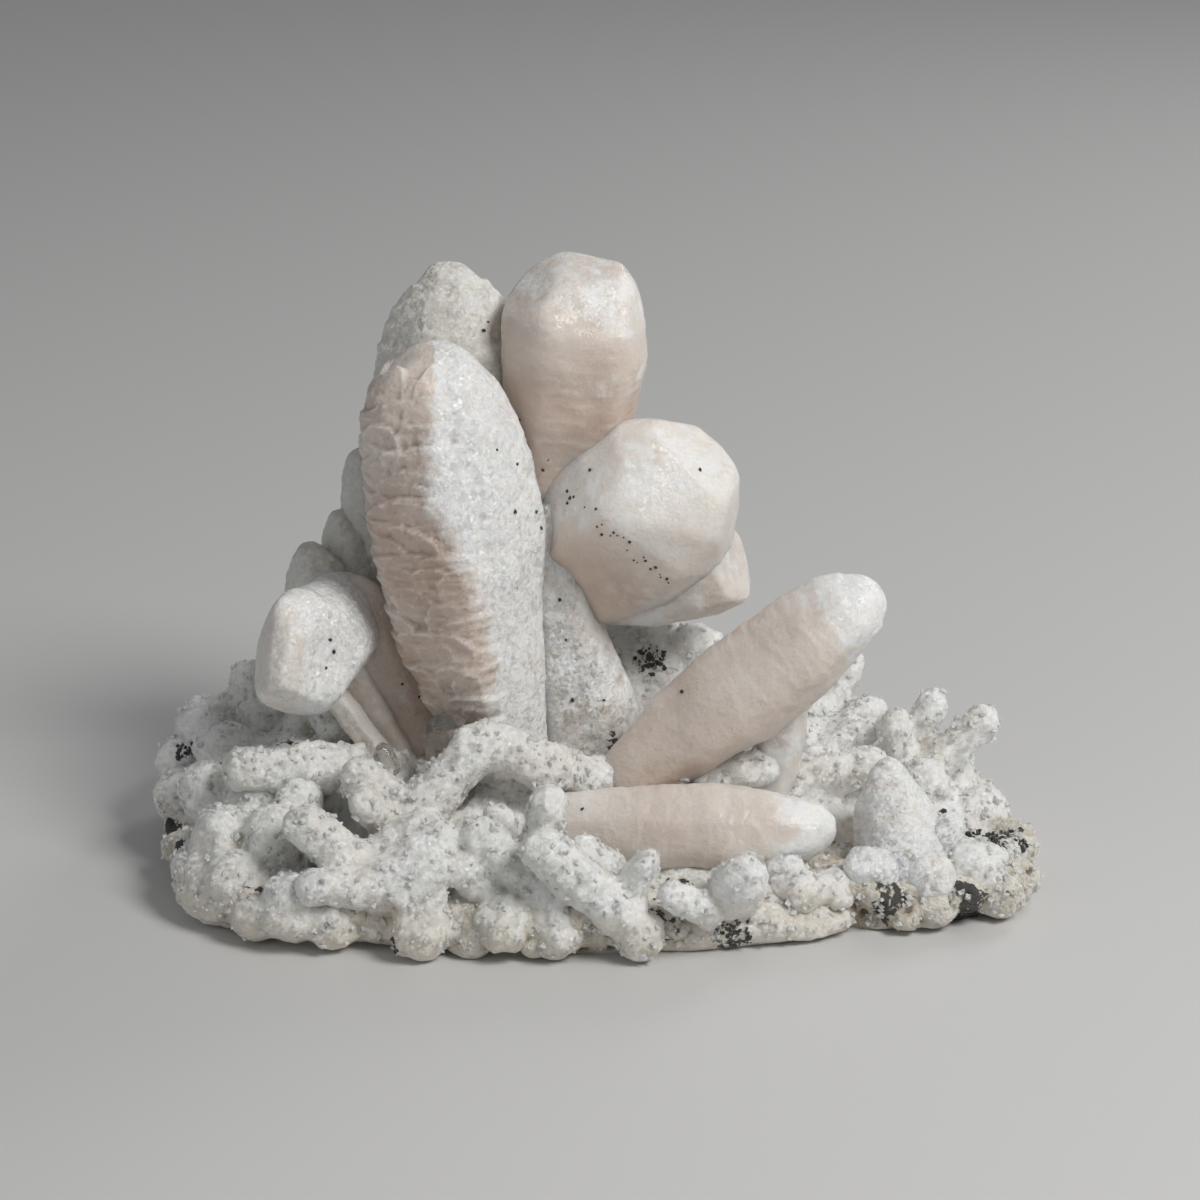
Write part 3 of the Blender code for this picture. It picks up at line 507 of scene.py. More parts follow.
class Skin:
    """A closed grid over a crystal, with each point's place along the crystal and angle round it."""

    def __init__(self, crystal, spacing):
        spacing *= DRAFT
        crystal["smooth"] = smooth_sections(crystal["sections"])
        root, tip = np.array(crystal["root"]), np.array(crystal["tip"])
        along, right, back = axes_of(root, tip)
        length = np.linalg.norm(tip - root)
        radius = mean_width(crystal)
        inset = min(CAP_INSET[0] * radius, CAP_INSET[1] * length)
        around = max(LEAST_AROUND, int(2.0 * math.pi * radius / spacing))
        cap_rings = max(LEAST_CAP_RINGS, int(0.5 * math.pi * radius / spacing))
        side_rings = max(LEAST_SIDE_RINGS, int((length - 2.0 * inset) / spacing))
        slants = [math.cos(0.5 * math.pi * step / cap_rings) for step in range(1, cap_rings)]
        stations = [(inset, -slant) for slant in slants]
        for step in range(side_rings + 1):
            stations.append((inset + (length - 2.0 * inset) * step / side_rings, 0.0))
        stations += [(length - inset, slant) for slant in reversed(slants)]
        theta = 2.0 * math.pi * np.arange(around) / around
        radial = np.outer(np.cos(theta), right) + np.outer(np.sin(theta), back)
        centres, directions = [], []
        for reach, slant in stations:
            centres.append(np.tile(root + along * reach, (around, 1)))
            directions.append(radial * math.sqrt(1.0 - slant * slant) + along * slant)
        centres.append(np.array([root + along * inset, root + along * (length - inset)]))
        directions.append(np.array([-along, along]))
        centre, direction = np.concatenate(centres), np.concatenate(directions)
        low, high = np.zeros(len(centre)), np.full(len(centre), WIDEST)
        for _ in range(SEARCH_ROUNDS):
            middle = 0.5 * (low + high)
            outside = depth_in(crystal, centre + direction * middle[:, None]) > 0.0
            high = np.where(outside, middle, high)
            low = np.where(outside, low, middle)
        self.points = centre + direction * (0.5 * (low + high))[:, None]
        self.quads = facing_out(self.points, closed_quads(len(stations), around))
        self.normals = vertex_normals(self.points, self.quads)
        local = self.points - root
        self.u = local @ along / length
        self.v = self.u * length
        self.angle = np.degrees(np.arctan2(local @ back, local @ right)) % 360.0
        self.radius = radius
        self.right = right

    def waves(self, size, seed, octaves=3):
        return fractal(self.points, size, seed, octaves)

    def push(self, amount):
        """Moves the surface along its normals."""
        self.points = self.points + self.normals * amount[:, None]
        self.normals = vertex_normals(self.points, self.quads)

    def scaled(self, seed, *rows):
        """Height of growth scales in rows of the given ranges."""
        return self.shingles(scale_rows(random.Random(seed), *rows))

    def shingles(self, scales):
        """Overlapping growth scales that lean out to a lip at the top and step back above it."""
        height = np.zeros(len(self.u))
        for turn, top, half, length, lip, slope in scales:
            away = (self.angle - turn + 180.0) % 360.0 - 180.0
            across = np.radians(away) * self.radius / half
            rim = top + slope * across * half - SCALE_BOW * length * np.abs(across) ** 3
            up = np.clip((self.v - rim + length) / length, 0.0, 1.0)
            lean = lip * up * smoothstep(0.0, SCALE_STEP, rim - self.v) * (np.abs(across) < SCALE_SPREAD)
            height = np.maximum(height, lean)
        return height

    def frosting(self, frost, size, height, seed):
        """Sugary grains standing on the frosted part."""
        near, mark = cells(self.points, size, seed, block=True)
        coarse, _ = cells(self.points, size * COARSE_SIZE, seed + 9, block=True)
        grains = (0.55 - near) * height * (0.5 + mark) * 1.1 + (0.5 - coarse) * height
        self.push(grains * frost)

    def piece(self, name, material, node, warm, frost, grey=0.0, ore_share=0.0, rounds=9, depth=0.35):
        """The finished piece, with the layers that the calcite materials read; grey is painted grey-green
        shade, and the hollow layer is painted shade in hollows and painted highlight on ridges.
        """
        blank = np.zeros(len(self.points))
        layers = {
            "warm": np.clip(warm + blank, 0.0, 1.0),
            "frost": np.clip(frost + blank, 0.0, 1.0),
            "grey": np.clip(GREY_SHARE * grey + blank, 0.0, 1.0),
            "hollow_shade_ridge_light": hollowness(self.points, self.quads, rounds, depth),
            "ore": np.clip(ore_share + blank, 0.0, 1.0),
        }
        return make_piece(name, self.points, self.quads, material, node, layers)


def scale_rows(rng, turns, reach, pitch, half, length, lip):
    """Scales in staggered rows: range of angles, of height, row pitch, half width, length and lip height."""
    scales = []
    top = reach[0]
    row = 0
    while top < reach[1]:
        turn = turns[0] + (row % 2) * ROW_TURN + rng.uniform(-TURN_STRAY, TURN_STRAY)
        while turn < turns[1]:
            size = rng.uniform(*half)
            height = top + rng.uniform(-HEIGHT_STRAY, HEIGHT_STRAY) * pitch
            reach_down, lean_out = rng.uniform(*length), rng.uniform(*lip)
            scales.append((turn, height, size, reach_down, lean_out, rng.uniform(-SCALE_LEAN, SCALE_LEAN)))
            turn += math.degrees(size * rng.uniform(*SCALE_GAP) / SCALE_GIRTH)
        top += pitch * rng.uniform(*ROW_PITCH)
        row += 1
    return scales


# Materials. Every one is made of nodes. Calcite, druse and rock read some or all of the layers that the
# pieces
# carry: warm (pink-brown, in places painted shade on undersides), frost (white sugary skin), grey (painted
# grey-green shade), the hollow layer (painted shade in hollows and painted highlight on ridges) and ore.

# Colour of ore, the range that most noise lies in, the soft edge and solid core of a speck, and the middle
# of a grain's random colour.
ORE_COLOUR = (0.075, 0.073, 0.068)
NOISE_SPAN = (0.3, 0.7)
SPECK_EDGE = 0.02
SPECK_CORE = 0.6
FACET_MIDDLE = (0.5, 0.5, 0.5)


class Look:
    """A new material and the nodes that make it."""

    def __init__(self, name, roughness, subsurface=0.0, reach=0.0, radius=(1.0, 0.7, 0.5), ior=1.5):
        self.material = bpy.data.materials.new(name)
        self.material.use_nodes = True
        self.tree = self.material.node_tree
        self.shader = self.tree.nodes["Principled BSDF"]
        self.set("Roughness", roughness)
        self.set("Subsurface Weight", subsurface)
        self.set("Subsurface Radius", radius)
        self.set("Subsurface Scale", reach)
        self.set("IOR", ior)
        self.place = self.add("ShaderNodeTexCoord").outputs["Object"]

    def put(self, value, socket):
        """Links a socket or sets a constant."""
        if isinstance(value, bpy.types.NodeSocket):
            self.tree.links.new(value, socket)
        else:
            socket.default_value = value

    def set(self, name, value):
        self.put(value, self.shader.inputs[name])

    def add(self, kind, inputs=None, **settings):
        item = self.tree.nodes.new(kind)
        for key, value in settings.items():
            setattr(item, key, value)
        for key, value in (inputs or {}).items():
            self.put(value, item.inputs[key])
        return item

    def blend(self, share, first, second):
        first, second = ((*side, 1.0) if isinstance(side, tuple) else side for side in (first, second))
        return self.add("ShaderNodeMix", {0: share, 6: first, 7: second}, data_type="RGBA").outputs[2]

    def math(self, operation, *values):
        return self.add("ShaderNodeMath", dict(enumerate(values)), operation=operation).outputs[0]

    def vector(self, operation, *values):
        return self.add("ShaderNodeVectorMath", dict(enumerate(values)), operation=operation)

    def ranged(self, *numbers):
        """A value, smoothly taken from a low and high end to a new low and high end."""
        item = self.add("ShaderNodeMapRange", dict(enumerate(numbers)), interpolation_type="SMOOTHSTEP")
        return item.outputs[0]

    def noise(self, scale, detail=3.0, roughness=0.55):
        inputs = {"Vector": self.place, "Scale": scale, "Detail": detail, "Roughness": roughness}
        return self.add("ShaderNodeTexNoise", inputs).outputs[0]

    def layer(self, name):
        return self.add("ShaderNodeAttribute", attribute_name=name).outputs["Fac"]

    def tinted(self, colour, value, low, high, share, tint):
        """The colour, moved toward a tint by up to the share as the value goes from low to high."""
        return self.blend(self.ranged(value, low, high, 0.0, share), colour, tint)

    def facets(self, scale, tilt):
        """Height of small flat faces, each tilted its own way, as sugary crystal skin has."""
        grains = self.add("ShaderNodeTexVoronoi", {"Vector": self.place, "Scale": scale, "Randomness": 1.0})
        offset = self.vector("SUBTRACT", self.place, grains.outputs["Position"]).outputs[0]
        lean = self.vector("SUBTRACT", grains.outputs["Color"], FACET_MIDDLE).outputs[0]
        return self.math("MULTIPLY", self.vector("DOT_PRODUCT", offset, lean).outputs["Value"], tilt)

    def waves(self, scale, detail, roughness, height):
        return self.math("MULTIPLY", self.noise(scale, detail, roughness), height)

    def specks(self, scale, rarity, size):
        """Thinly scattered ore grains: 1 on a grain and 0 between them."""
        ripple = self.add("ShaderNodeTexNoise", {"Vector": self.place, "Scale": scale * 6.0, "Detail": 1.0})
        bend = (0.25 / scale,) * 3
        bent = self.vector("MULTIPLY_ADD", ripple.outputs["Color"], bend, self.place).outputs[0]
        grains = self.add("ShaderNodeTexVoronoi", {"Vector": bent, "Scale": scale, "Randomness": 1.0})
        picked = self.ranged(grains.outputs["Color"], rarity, rarity + SPECK_EDGE, 0.0, 1.0)
        near = self.ranged(grains.outputs["Distance"], size, size * SPECK_CORE, 0.0, 1.0)
        return self.math("MULTIPLY", picked, near)

    def relief(self, height, strength=1.0, distance=1.0):
        bump = self.add("ShaderNodeBump", {"Strength": strength, "Distance": distance, "Height": height})
        self.set("Normal", bump.outputs[0])

    def finish(self, colour, fine_clouds, hollows, ridges, grit, specks, gloss, height):
        """The ending that calcite, druse and rock share: painted shade in hollows, painted highlight on
        ridges, ore, gloss and relief.
        """
        colour = self.tinted(colour, self.layer("hollow_shade_ridge_light"), *hollows)
        colour = self.tinted(colour, self.layer("hollow_shade_ridge_light"), *ridges)
        scale, weakest, strongest, low, high = grit
        broken = self.ranged(self.noise(scale), *NOISE_SPAN, weakest, strongest)
        ore_share = self.ranged(self.math("ADD", self.layer("ore"), broken), low, high, 0.0, 1.0)
        if specks:
            ore_share = self.math("MAXIMUM", self.specks(*specks), ore_share)
        self.set("Base Color", self.blend(ore_share, colour, ORE_COLOUR))
        self.set("Roughness", self.ranged(fine_clouds, *NOISE_SPAN, *gloss))
        self.relief(height)
        return self.material


def calcite(name, roughness, sugar, subsurface, reach):
    """Translucent calcite: pale, pink-brown, frosted or painted grey-green shade by its layers, with painted
    brown shade in hollows and a painted highlight on ridges.
    """
    look = Look(name, roughness, subsurface, reach, (1.0, 0.72, 0.52))
    clouds, fine_clouds = look.noise(95.0, 2.5), look.noise(420.0, 2.0)
    pale = look.blend(look.ranged(clouds, 0.35, 0.7, 0.0, 1.0), (0.80, 0.765, 0.72), (0.86, 0.835, 0.80))
    warm = look.blend(look.ranged(clouds, *NOISE_SPAN, 0.0, 1.0), (0.63, 0.485, 0.40), (0.75, 0.63, 0.55))
    colour = look.blend(look.layer("warm"), pale, warm)
    colour = look.blend(look.layer("grey"), colour, (0.64, 0.65, 0.60))
    broken = look.math("ADD", look.layer("frost"), look.ranged(fine_clouds, *NOISE_SPAN, -0.18, 0.18))
    colour = look.tinted(colour, broken, 0.15, 0.75, 1.0, (0.90, 0.905, 0.90))
    grains = look.math("ADD", look.facets(1000.0, 0.9 * sugar), look.facets(2400.0, 1.2 * sugar))
    grains = look.math("MULTIPLY", grains, look.math("MULTIPLY_ADD", look.layer("frost"), 0.8, 0.35))
    return look.finish(
        colour, fine_clouds, specks=(210.0, 0.83, 0.055), gloss=(roughness - 0.1, roughness + 0.12),
        hollows=(0.1, 0.9, 0.45, (0.50, 0.40, 0.31)), ridges=(-0.2, -0.9, 0.35, (0.95, 0.95, 0.94)),
        grit=(1300.0, -0.7, 0.15, 0.25, 0.5),
        height=look.math("ADD", grains, look.waves(900.0, 2.5, 0.6, 0.00022)),
    )


def druse(name):
    """White sugary crust on rock with ore grains, painted grey-green shade from its grey layer, painted
    grey-brown shade in its hollows and a painted highlight on its ridges.
    """
    look = Look(name, 0.5, 0.55, 0.0030, (1.0, 0.9, 0.8))
    clouds, fine_clouds = look.noise(60.0, 2.5), look.noise(380.0, 2.0)
    colour = look.blend(look.ranged(clouds, 0.35, 0.68, 0.0, 1.0), (0.90, 0.90, 0.87), (0.955, 0.955, 0.94))
    colour = look.tinted(colour, fine_clouds, 0.55, 0.8, 0.25, (0.78, 0.74, 0.67))
    colour = look.blend(look.layer("grey"), colour, (0.60, 0.605, 0.55))
    colour = look.blend(look.layer("warm"), colour, (0.72, 0.61, 0.47))
    grains = look.math("ADD", look.facets(900.0, 0.75), look.facets(2000.0, 0.9))
    return look.finish(
        colour, fine_clouds, specks=(230.0, 0.93, 0.04), gloss=(0.36, 0.62),
        hollows=(0.1, 1.0, 0.85, (0.42, 0.36, 0.27)), ridges=(-0.25, -1.0, 0.5, (0.96, 0.96, 0.955)),
        grit=(1100.0, -0.75, 0.12, 0.2, 0.5),
        height=look.math("ADD", grains, look.waves(700.0, 2.5, 0.6, 0.0003)),
    )


def rock(name):
    """Cream porous vein rock with dark ore patches, painted dark shade in its pits and hollows and a painted
    highlight on its ridges.
    """
    look = Look(name, 0.75, 0.12, 0.0012, (1.0, 0.8, 0.6))
    clouds, fine_clouds = look.noise(110.0, 4.0), look.noise(620.0, 5.0, 0.65)
    colour = look.blend(look.ranged(clouds, 0.35, 0.65, 0.0, 1.0), (0.60, 0.535, 0.43), (0.80, 0.765, 0.69))
    colour = look.tinted(colour, fine_clouds, 0.5, 0.72, 0.55, (0.42, 0.35, 0.26))
    return look.finish(
        colour, fine_clouds, specks=None, gloss=(0.6, 0.85),
        hollows=(0.05, 0.8, 0.85, (0.17, 0.135, 0.10)), ridges=(-0.2, -0.9, 0.5, (0.90, 0.88, 0.83)),
        grit=(800.0, -0.75, 0.15, 0.2, 0.5),
        height=look.math("ADD", look.facets(800.0, 0.7), look.waves(900.0, 3.5, 0.7, 0.0009)),
    )


def clear_quartz(name):
    """See-through grey-brown quartz: plain transmission with a little absorption inside."""
    look = Look(name, 0.08, 0.0, 0.0, (1.0, 1.0, 1.0), 1.54)
    look.set("Transmission Weight", 0.92)
    haze = look.noise(500.0, 4.0)
    haze_share = look.ranged(haze, 0.4, 0.7, 0.0, 1.0)
    look.set("Base Color", look.blend(haze_share, (0.93, 0.92, 0.90), (0.80, 0.77, 0.72)))
    look.set("Roughness", look.ranged(haze, 0.35, 0.75, 0.03, 0.3))
    look.relief(look.waves(1200.0, 3.0, 0.55, 0.00008))
    depth = look.add("ShaderNodeVolumeAbsorption", {"Color": (0.62, 0.55, 0.46, 1.0), "Density": 60.0})
    look.put(depth.outputs[0], look.tree.nodes["Material Output"].inputs["Volume"])
    return look.material


def ore(name):
    """Dark sulphide grains with a dull metallic face."""
    look = Look(name, 0.4)
    look.set("Metallic", 0.35)
    shade = look.noise(1500.0, 2.0)
    look.set("Base Color", look.blend(shade, (0.02, 0.02, 0.019), (0.10, 0.095, 0.085)))
    look.set("Roughness", look.ranged(shade, *NOISE_SPAN, 0.25, 0.6))
    look.relief(look.noise(4000.0), 0.6, 0.0001)
    return look.material


# Calcites: roughness, how sugary the relief is, share of light scattered inside, and how far it reaches.
WAXY = calcite("waxy pink calcite", 0.40, 0.30, 0.50, 0.0045)
SCALY = calcite("scaly pink calcite", 0.38, 0.55, 0.42, 0.0035)
SUGARY = calcite("sugary white calcite", 0.46, 0.9, 0.30, 0.0025)
DRUSE = druse("druse crust")
ROCK = rock("porous vein rock")
QUARTZ = clear_quartz("clear quartz")
ORE = ore("sulphide ore")


# Crystal pieces.

# Ore patches, as place and reach, and how strong the ore is in the middle of one.
PATCH_STRENGTH = 0.64
ORE_PATCHES = [
    ((-3, -1, 15), 4.5), ((7.4, 14, 27), 5.5), ((57, -12, 9), 9), ((18, -31, 2.5), 6.5),
    ((-66, 7, 5), 6), ((-46, 3, 16.5), 4), ((11, -27, 7), 5), ((-62, 6, 15), 3),
    ((-55, -3, 16), 2.6), ((48, -8, 10), 5), ((40, -27, 2), 4), ((-30, -35, 2), 4),
    ((22, -24, 8.5), 3.5), ((-16, -17, 9), 3.5), ((30, 26, 12), 6), ((-20, 36, 8), 7),
    ((8.5, -30, 6), 2.6), ((51, -22, 2), 3), ((2, 2, 18), 3), ((9, 3, 19), 2.6),
]

# The facet of the tooth that is its lower face, pink partly as painted shade.
LOWER_FACE = TOOTH["facets"][1]

# Where the column turns from scales to frost: heights along it, and the angle round it at each.
FROST_HEIGHTS = [0, 12, 25, 40, 55, 62, 72]
FROST_ANGLES = [262, 268, 276, 270, 254, 258, 268]

# Wave height on a simple crystal, and the size and height of its frosting grains.
SOFT = (0.35, 1.0, 0.10)
SUGAR = (0.4, 1.1, 0.2)
BLOCKY = (0.6, 1.4, 0.26)
CORNER_SUGAR = (0.4, 1.2, 0.2)
BROWN_SCALES = ((0, 360), (8.0, 34.0), 4.0, (1.5, 3.0), (2.5, 4.5), (0.1, 0.3))

# Simple crystals: name, form, spacing, material, node, warmth, frost, grey (painted grey-green shade), wave
# and frosting, seed and, on one of them, scales. The corner group shares all of these but name, form and
# seed.
MAIN_SIMPLE = [
    ("tooth_underlayer", TOOTH_UNDERLAYER, 0.42, WAXY, "main_crystals", 0.35, 0.35, 0.0, SOFT, 81),
    ("pale_column", PALE_COLUMN, 0.36, SUGARY, "main_crystals", 0.22, 0.5, 0.12, SUGAR, 82),
    ("brown_crystal", BROWN_CRYSTAL, 0.40, SCALY, "main_crystals", 0.75, 0.05, 0.0, SOFT, 83, BROWN_SCALES),
    ("brown_companion", BROWN_COMPANION, 0.42, SCALY, "main_crystals", 0.6, 0.1, 0.1, SOFT, 84),
    ("thin_prism", THIN_PRISM, 0.42, SCALY, "main_crystals", 0.3, 0.15, 0.55, SOFT, 85),
    ("slope_upper", SLOPE_UPPER, 0.5, SUGARY, "main_crystals", 0.0, 0.15, 0.8, BLOCKY, 86),
    ("slope_middle", SLOPE_MIDDLE, 0.5, SUGARY, "main_crystals", 0.0, 0.2, 0.75, BLOCKY, 87),
    ("slope_lower", SLOPE_LOWER, 0.45, SUGARY, "main_crystals", 0.0, 0.3, 0.6, BLOCKY, 88),
]
BLOCK_SIMPLE = ("diagonal_block", DIAGONAL_BLOCK, 0.4, WAXY, "diagonal_crystal", 0.25, 0.4, 0.0, SOFT, 89)
CORNER_SIMPLE = [
    ("corner_pyramid", CORNER), ("corner_left", CORNER_LEFT), ("corner_front", CORNER_FRONT),
    ("corner_right", CORNER_RIGHT),
]
CORNER_SEED = 90


def near_patches(points):
    """How near each point is to an ore patch: PATCH_STRENGTH in the middle of one, 0 outside."""
    share = np.zeros(len(points))
    for centre, reach in ORE_PATCHES:
        distance = np.linalg.norm(points - np.array(centre), axis=1)
        nearness = 1.0 - smoothstep(0.2 * reach, 0.8 * reach, distance)
        share = np.maximum(share, PATCH_STRENGTH * nearness)
    return share


def build_column():
    """The tall club-shaped crystal: pink growth scales on the left, white frost on the right."""
    skin = Skin(COLUMN, 0.34)
    skin.push(0.55 * skin.waves(13.0, 5))
    rng = random.Random(41)
    scales = scale_rows(rng, (128, 285), (9.0, 70.0), 4.3, (2.2, 4.2), (4.0, 7.0), (0.7, 1.3))
    scales += scale_rows(rng, (200, 272), (40.0, 66.0), 6.5, (5.0, 7.5), (5.0, 8.0), (0.9, 1.5))
    small = scale_rows(rng, (128, 292), (8.0, 68.0), 2.1, (0.9, 1.8), (1.4, 2.6), (0.2, 0.5))
    height = skin.shingles(scales) + skin.shingles(small)
    turn = skin.angle + 9.0 * skin.waves(9.0, 77)
    bend = np.interp(skin.v, FROST_HEIGHTS, FROST_ANGLES)
    frost = smoothstep(bend - 6.0, bend + 16.0, turn) + (1.0 - smoothstep(70.0, 120.0, turn))
    frost = np.clip(frost, 0.0, 1.0)
    scaly = 1.0 - smoothstep(bend - 2.0, bend + 26.0, turn)
    scaly *= smoothstep(95.0, 130.0, turn)
    skin.push(height * scaly)
    streak = np.exp(-((turn - bend + 3.0) / 7.0) ** 2)
    streak = streak * smoothstep(6.0, 14.0, skin.v) * (1.0 - smoothstep(58.0, 68.0, skin.v))
    skin.frosting(np.clip(frost + 0.7 * streak, 0.0, 1.0), 1.05, 0.2, 13)
    warm = 0.85 - 0.35 * smoothstep(45.0, 68.0, skin.v) + 0.25 * skin.waves(10.0, 21, 2)
    warm = warm * (1.0 - 0.55 * frost)
    white = 0.92 * frost + 0.35 * streak
    return skin.piece("column", SCALY, "main_crystals", warm, white, rounds=7, depth=0.3)


def build_rear():
    """The crystal behind the column, greyed by painted grey-green shade."""
    skin = Skin(REAR_CRYSTAL, 0.55)
    skin.push(0.6 * skin.waves(12.0, 15))
    skin.push(skin.scaled(8, (0, 360), (22.0, 70.0), 3.6, (1.8, 3.6), (3.0, 5.0), (0.3, 0.6)))
    frost = 0.35 + 0.4 * skin.waves(9.0, 22)
    skin.frosting(np.clip(frost, 0.2, 1.0), 1.3, 0.16, 23)
    # Its grey, 0.55, is painted shade.
    return skin.piece("rear_crystal", SUGARY, "main_crystals", 0.12, 0.5 * frost, 0.55)


def build_top():
    """The top crystal: waxy, pink below, partly as painted shade under its crown, and pale on its crown."""
    skin = Skin(TOP_CRYSTAL, 0.38)
    skin.push(0.5 * skin.waves(11.0, 25))
    skin.push(skin.scaled(12, (150, 400), (22.0, 48.0), 1.7, (2.0, 4.5), (1.6, 2.6), (0.08, 0.22)))
    x = (skin.points - np.array([-3.0, 0.0, 0.0])) @ skin.right
    # Pinker low down: partly real pink, partly painted shade under the crown.
    low = 1.0 - smoothstep(64.0, 84.0, skin.points[:, 2] + 0.35 * x)
    warm = 0.15 + 0.75 * low + 0.15 * skin.waves(9.0, 61, 2)
    frost = 0.35 * smoothstep(46.0, 52.0, skin.v) + 0.25 * skin.waves(6.0, 62)
    skin.frosting(np.clip(0.25 + frost, 0.0, 1.0), 0.9, 0.07, 33)
    return skin.piece("top_crystal", WAXY, "main_crystals", warm, np.clip(frost, 0.0, 0.7))


def build_tooth():
    """The big blunt tooth, pinker on its lower face and low down, partly as painted shade."""
    skin = Skin(TOOTH, 0.38)
    skin.push(0.45 * skin.waves(11.0, 35))
    point, normal = (np.array(part) for part in LOWER_FACE)
    # Pinker on the lower face and low down: partly real pink, partly painted shade on the underside.
    under = smoothstep(-1.5, 3.5, (skin.points - point) @ normal + 3.0)
    low = 1.0 - smoothstep(42.0, 54.0, skin.points[:, 2])
    warm = 0.10 + 0.85 * under + 0.25 * low + 0.12 * skin.waves(8.0, 64, 2)
    frost = 0.2 + 0.3 * skin.waves(7.0, 65) - 0.3 * under
    skin.frosting(0.35, 0.9, 0.06, 43)
    return skin.piece("tooth", WAXY, "main_crystals", warm, np.clip(frost, 0.0, 0.5))


def build_left():
    """The left crystal that ends toward the viewer, frosted on its right side and pinker low on its left,
    partly as painted shade.
    """
    skin = Skin(LEFT_CRYSTAL, 0.34)
    skin.push(0.3 * skin.waves(9.0, 75))
    right_side = smoothstep(-43.5, -40.5, skin.points[:, 0] + 1.2 * skin.waves(4.0, 76))
    frost = np.clip(0.35 + 0.65 * right_side + 0.2 * skin.waves(5.0, 78), 0.0, 1.0)
    # Pinker low on the left side: partly real pink, partly painted shade.
    low = 1.0 - smoothstep(26.0, 36.0, skin.points[:, 2])
    skin.frosting(0.12 + 0.88 * right_side, 1.1, 0.15, 73)
    return skin.piece("left_crystal", SCALY, "main_crystals", 0.22 * (1.0 - right_side) * low + 0.08, frost)


def build_diagonal():
    """The diagonal crystal at the right, whose tip is white."""
    skin = Skin(DIAGONAL, 0.33)
    skin.push(0.4 * skin.waves(10.0, 45))
    scales = skin.scaled(19, (0, 360), (14.0, 47.0), 2.6, (1.6, 3.4), (2.4, 3.8), (0.10, 0.34))
    skin.push(scales * (0.35 + 0.65 * smoothstep(18.0, 34.0, skin.v)))
    tip = smoothstep(0.74, 0.93, skin.u + 0.04 * skin.waves(5.0, 66))
    skin.frosting(0.25 + 0.6 * tip, 0.9, 0.12, 53)
    warm = 0.42 - 0.35 * tip + 0.18 * (1.0 - skin.u) + 0.12 * skin.waves(8.0, 67, 2)
    frost = 0.75 * tip + 0.12 * skin.waves(5.0, 68)
    return skin.piece("diagonal_skin", WAXY, "diagonal_crystal", warm, frost)


def build_lying():
    """The crystal that lies in front, pinkest in the middle and white at its tip."""
    skin = Skin(LYING, 0.33)
    skin.push(0.45 * skin.waves(9.0, 55))
    skin.push(skin.scaled(29, (0, 360), (6.0, 40.0), 3.0, (1.8, 3.6), (2.6, 4.2), (0.10, 0.30)))
    tip = smoothstep(0.70, 0.90, skin.u + 0.05 * skin.waves(5.0, 69))
    skin.frosting(0.3 + 0.6 * tip, 1.0, 0.13, 63)
    middle = np.exp(-((skin.u - 0.45) / 0.25) ** 2)
    warm = 0.18 + 0.40 * middle + 0.12 * skin.waves(8.0, 70, 2)
    frost = 0.8 * tip + 0.15 * skin.waves(5.0, 71)
    # Its grey toward the root is painted grey-green shade.
    return skin.piece("lying_skin", WAXY, "lying_crystal", warm, frost, 0.10 * (1.0 - skin.u))


def build_simple(name, crystal, spacing, material, node, warm, frost, grey, rough, seed, scales=None):
    """A crystal that needs only waves, scales and frosting of its own amount."""
    skin = Skin(crystal, spacing)
    wave, grain, height = rough
    skin.push(wave * skin.waves(9.0, seed))
    if scales:
        skin.push(skin.scaled(seed, *scales))
    ripple = skin.waves(7.0, seed + 3)
    skin.frosting(1.0, grain, height, seed + 5)
    return skin.piece(
        name, material, node, warm + 0.15 * ripple, frost + 0.3 * ripple, grey, near_patches(skin.points),
    )


def build_crystals():
    pieces = [build_column(), build_rear(), build_top(), build_tooth(), build_left()]
    pieces += [build_simple(*row) for row in MAIN_SIMPLE]
    pieces += [build_diagonal(), build_simple(*BLOCK_SIMPLE), build_lying()]
    for number, (name, crystal) in enumerate(CORNER_SIMPLE):
        seed = CORNER_SEED + number
        pieces.append(build_simple(
            name, crystal, 0.36, SUGARY, "corner_crystals", 0.12, 0.7, 0.0, CORNER_SUGAR, seed,
        ))
    return pieces


# Rock, crust and fingers. The tables are those of the solid model: swellings and lumps by middle and
# radius, fingers by root, tip and radius.

PLATE_THICKNESS = 7
PLATE_FOOT = 0.93
PLATE_OUTLINE = [
    (-64, 8), (-61, -8), (-55, -21), (-47, -30), (-32, -30), (-18, -32), (-4, -34), (6, -34),
    (14, -29), (23, -27), (33, -23), (41, -26), (50, -24), (60, -20), (61, -8), (56, 3),
    (53, 14), (47, 22), (36, 29), (22, 34), (4, 37), (-14, 38), (-30, 36), (-42, 33),
    (-53, 27), (-61, 18),
]
SWELLINGS = [
    ((-48, 8, 7), (17, 17, 10)),
    ((-20, 6, 7), (27, 25, 8.5)),
    ((16, 8, 7), (28, 24, 8)),
    ((44, 4, 4), (17, 19, 8)),
    ((30, 20, 8), (15, 12, 9)),
    ((-4, 26, 8), (44, 13, 10)),
    ((-42, 19, 16), (11, 11, 12)),
    ((8, 21, 18), (12, 9, 12)),
    ((-20, -20, 4), (32, 14, 6)),
    ((12, -20, 3), (26, 13, 6)),
    ((-50, -14, 5), (12, 14, 8)),
]
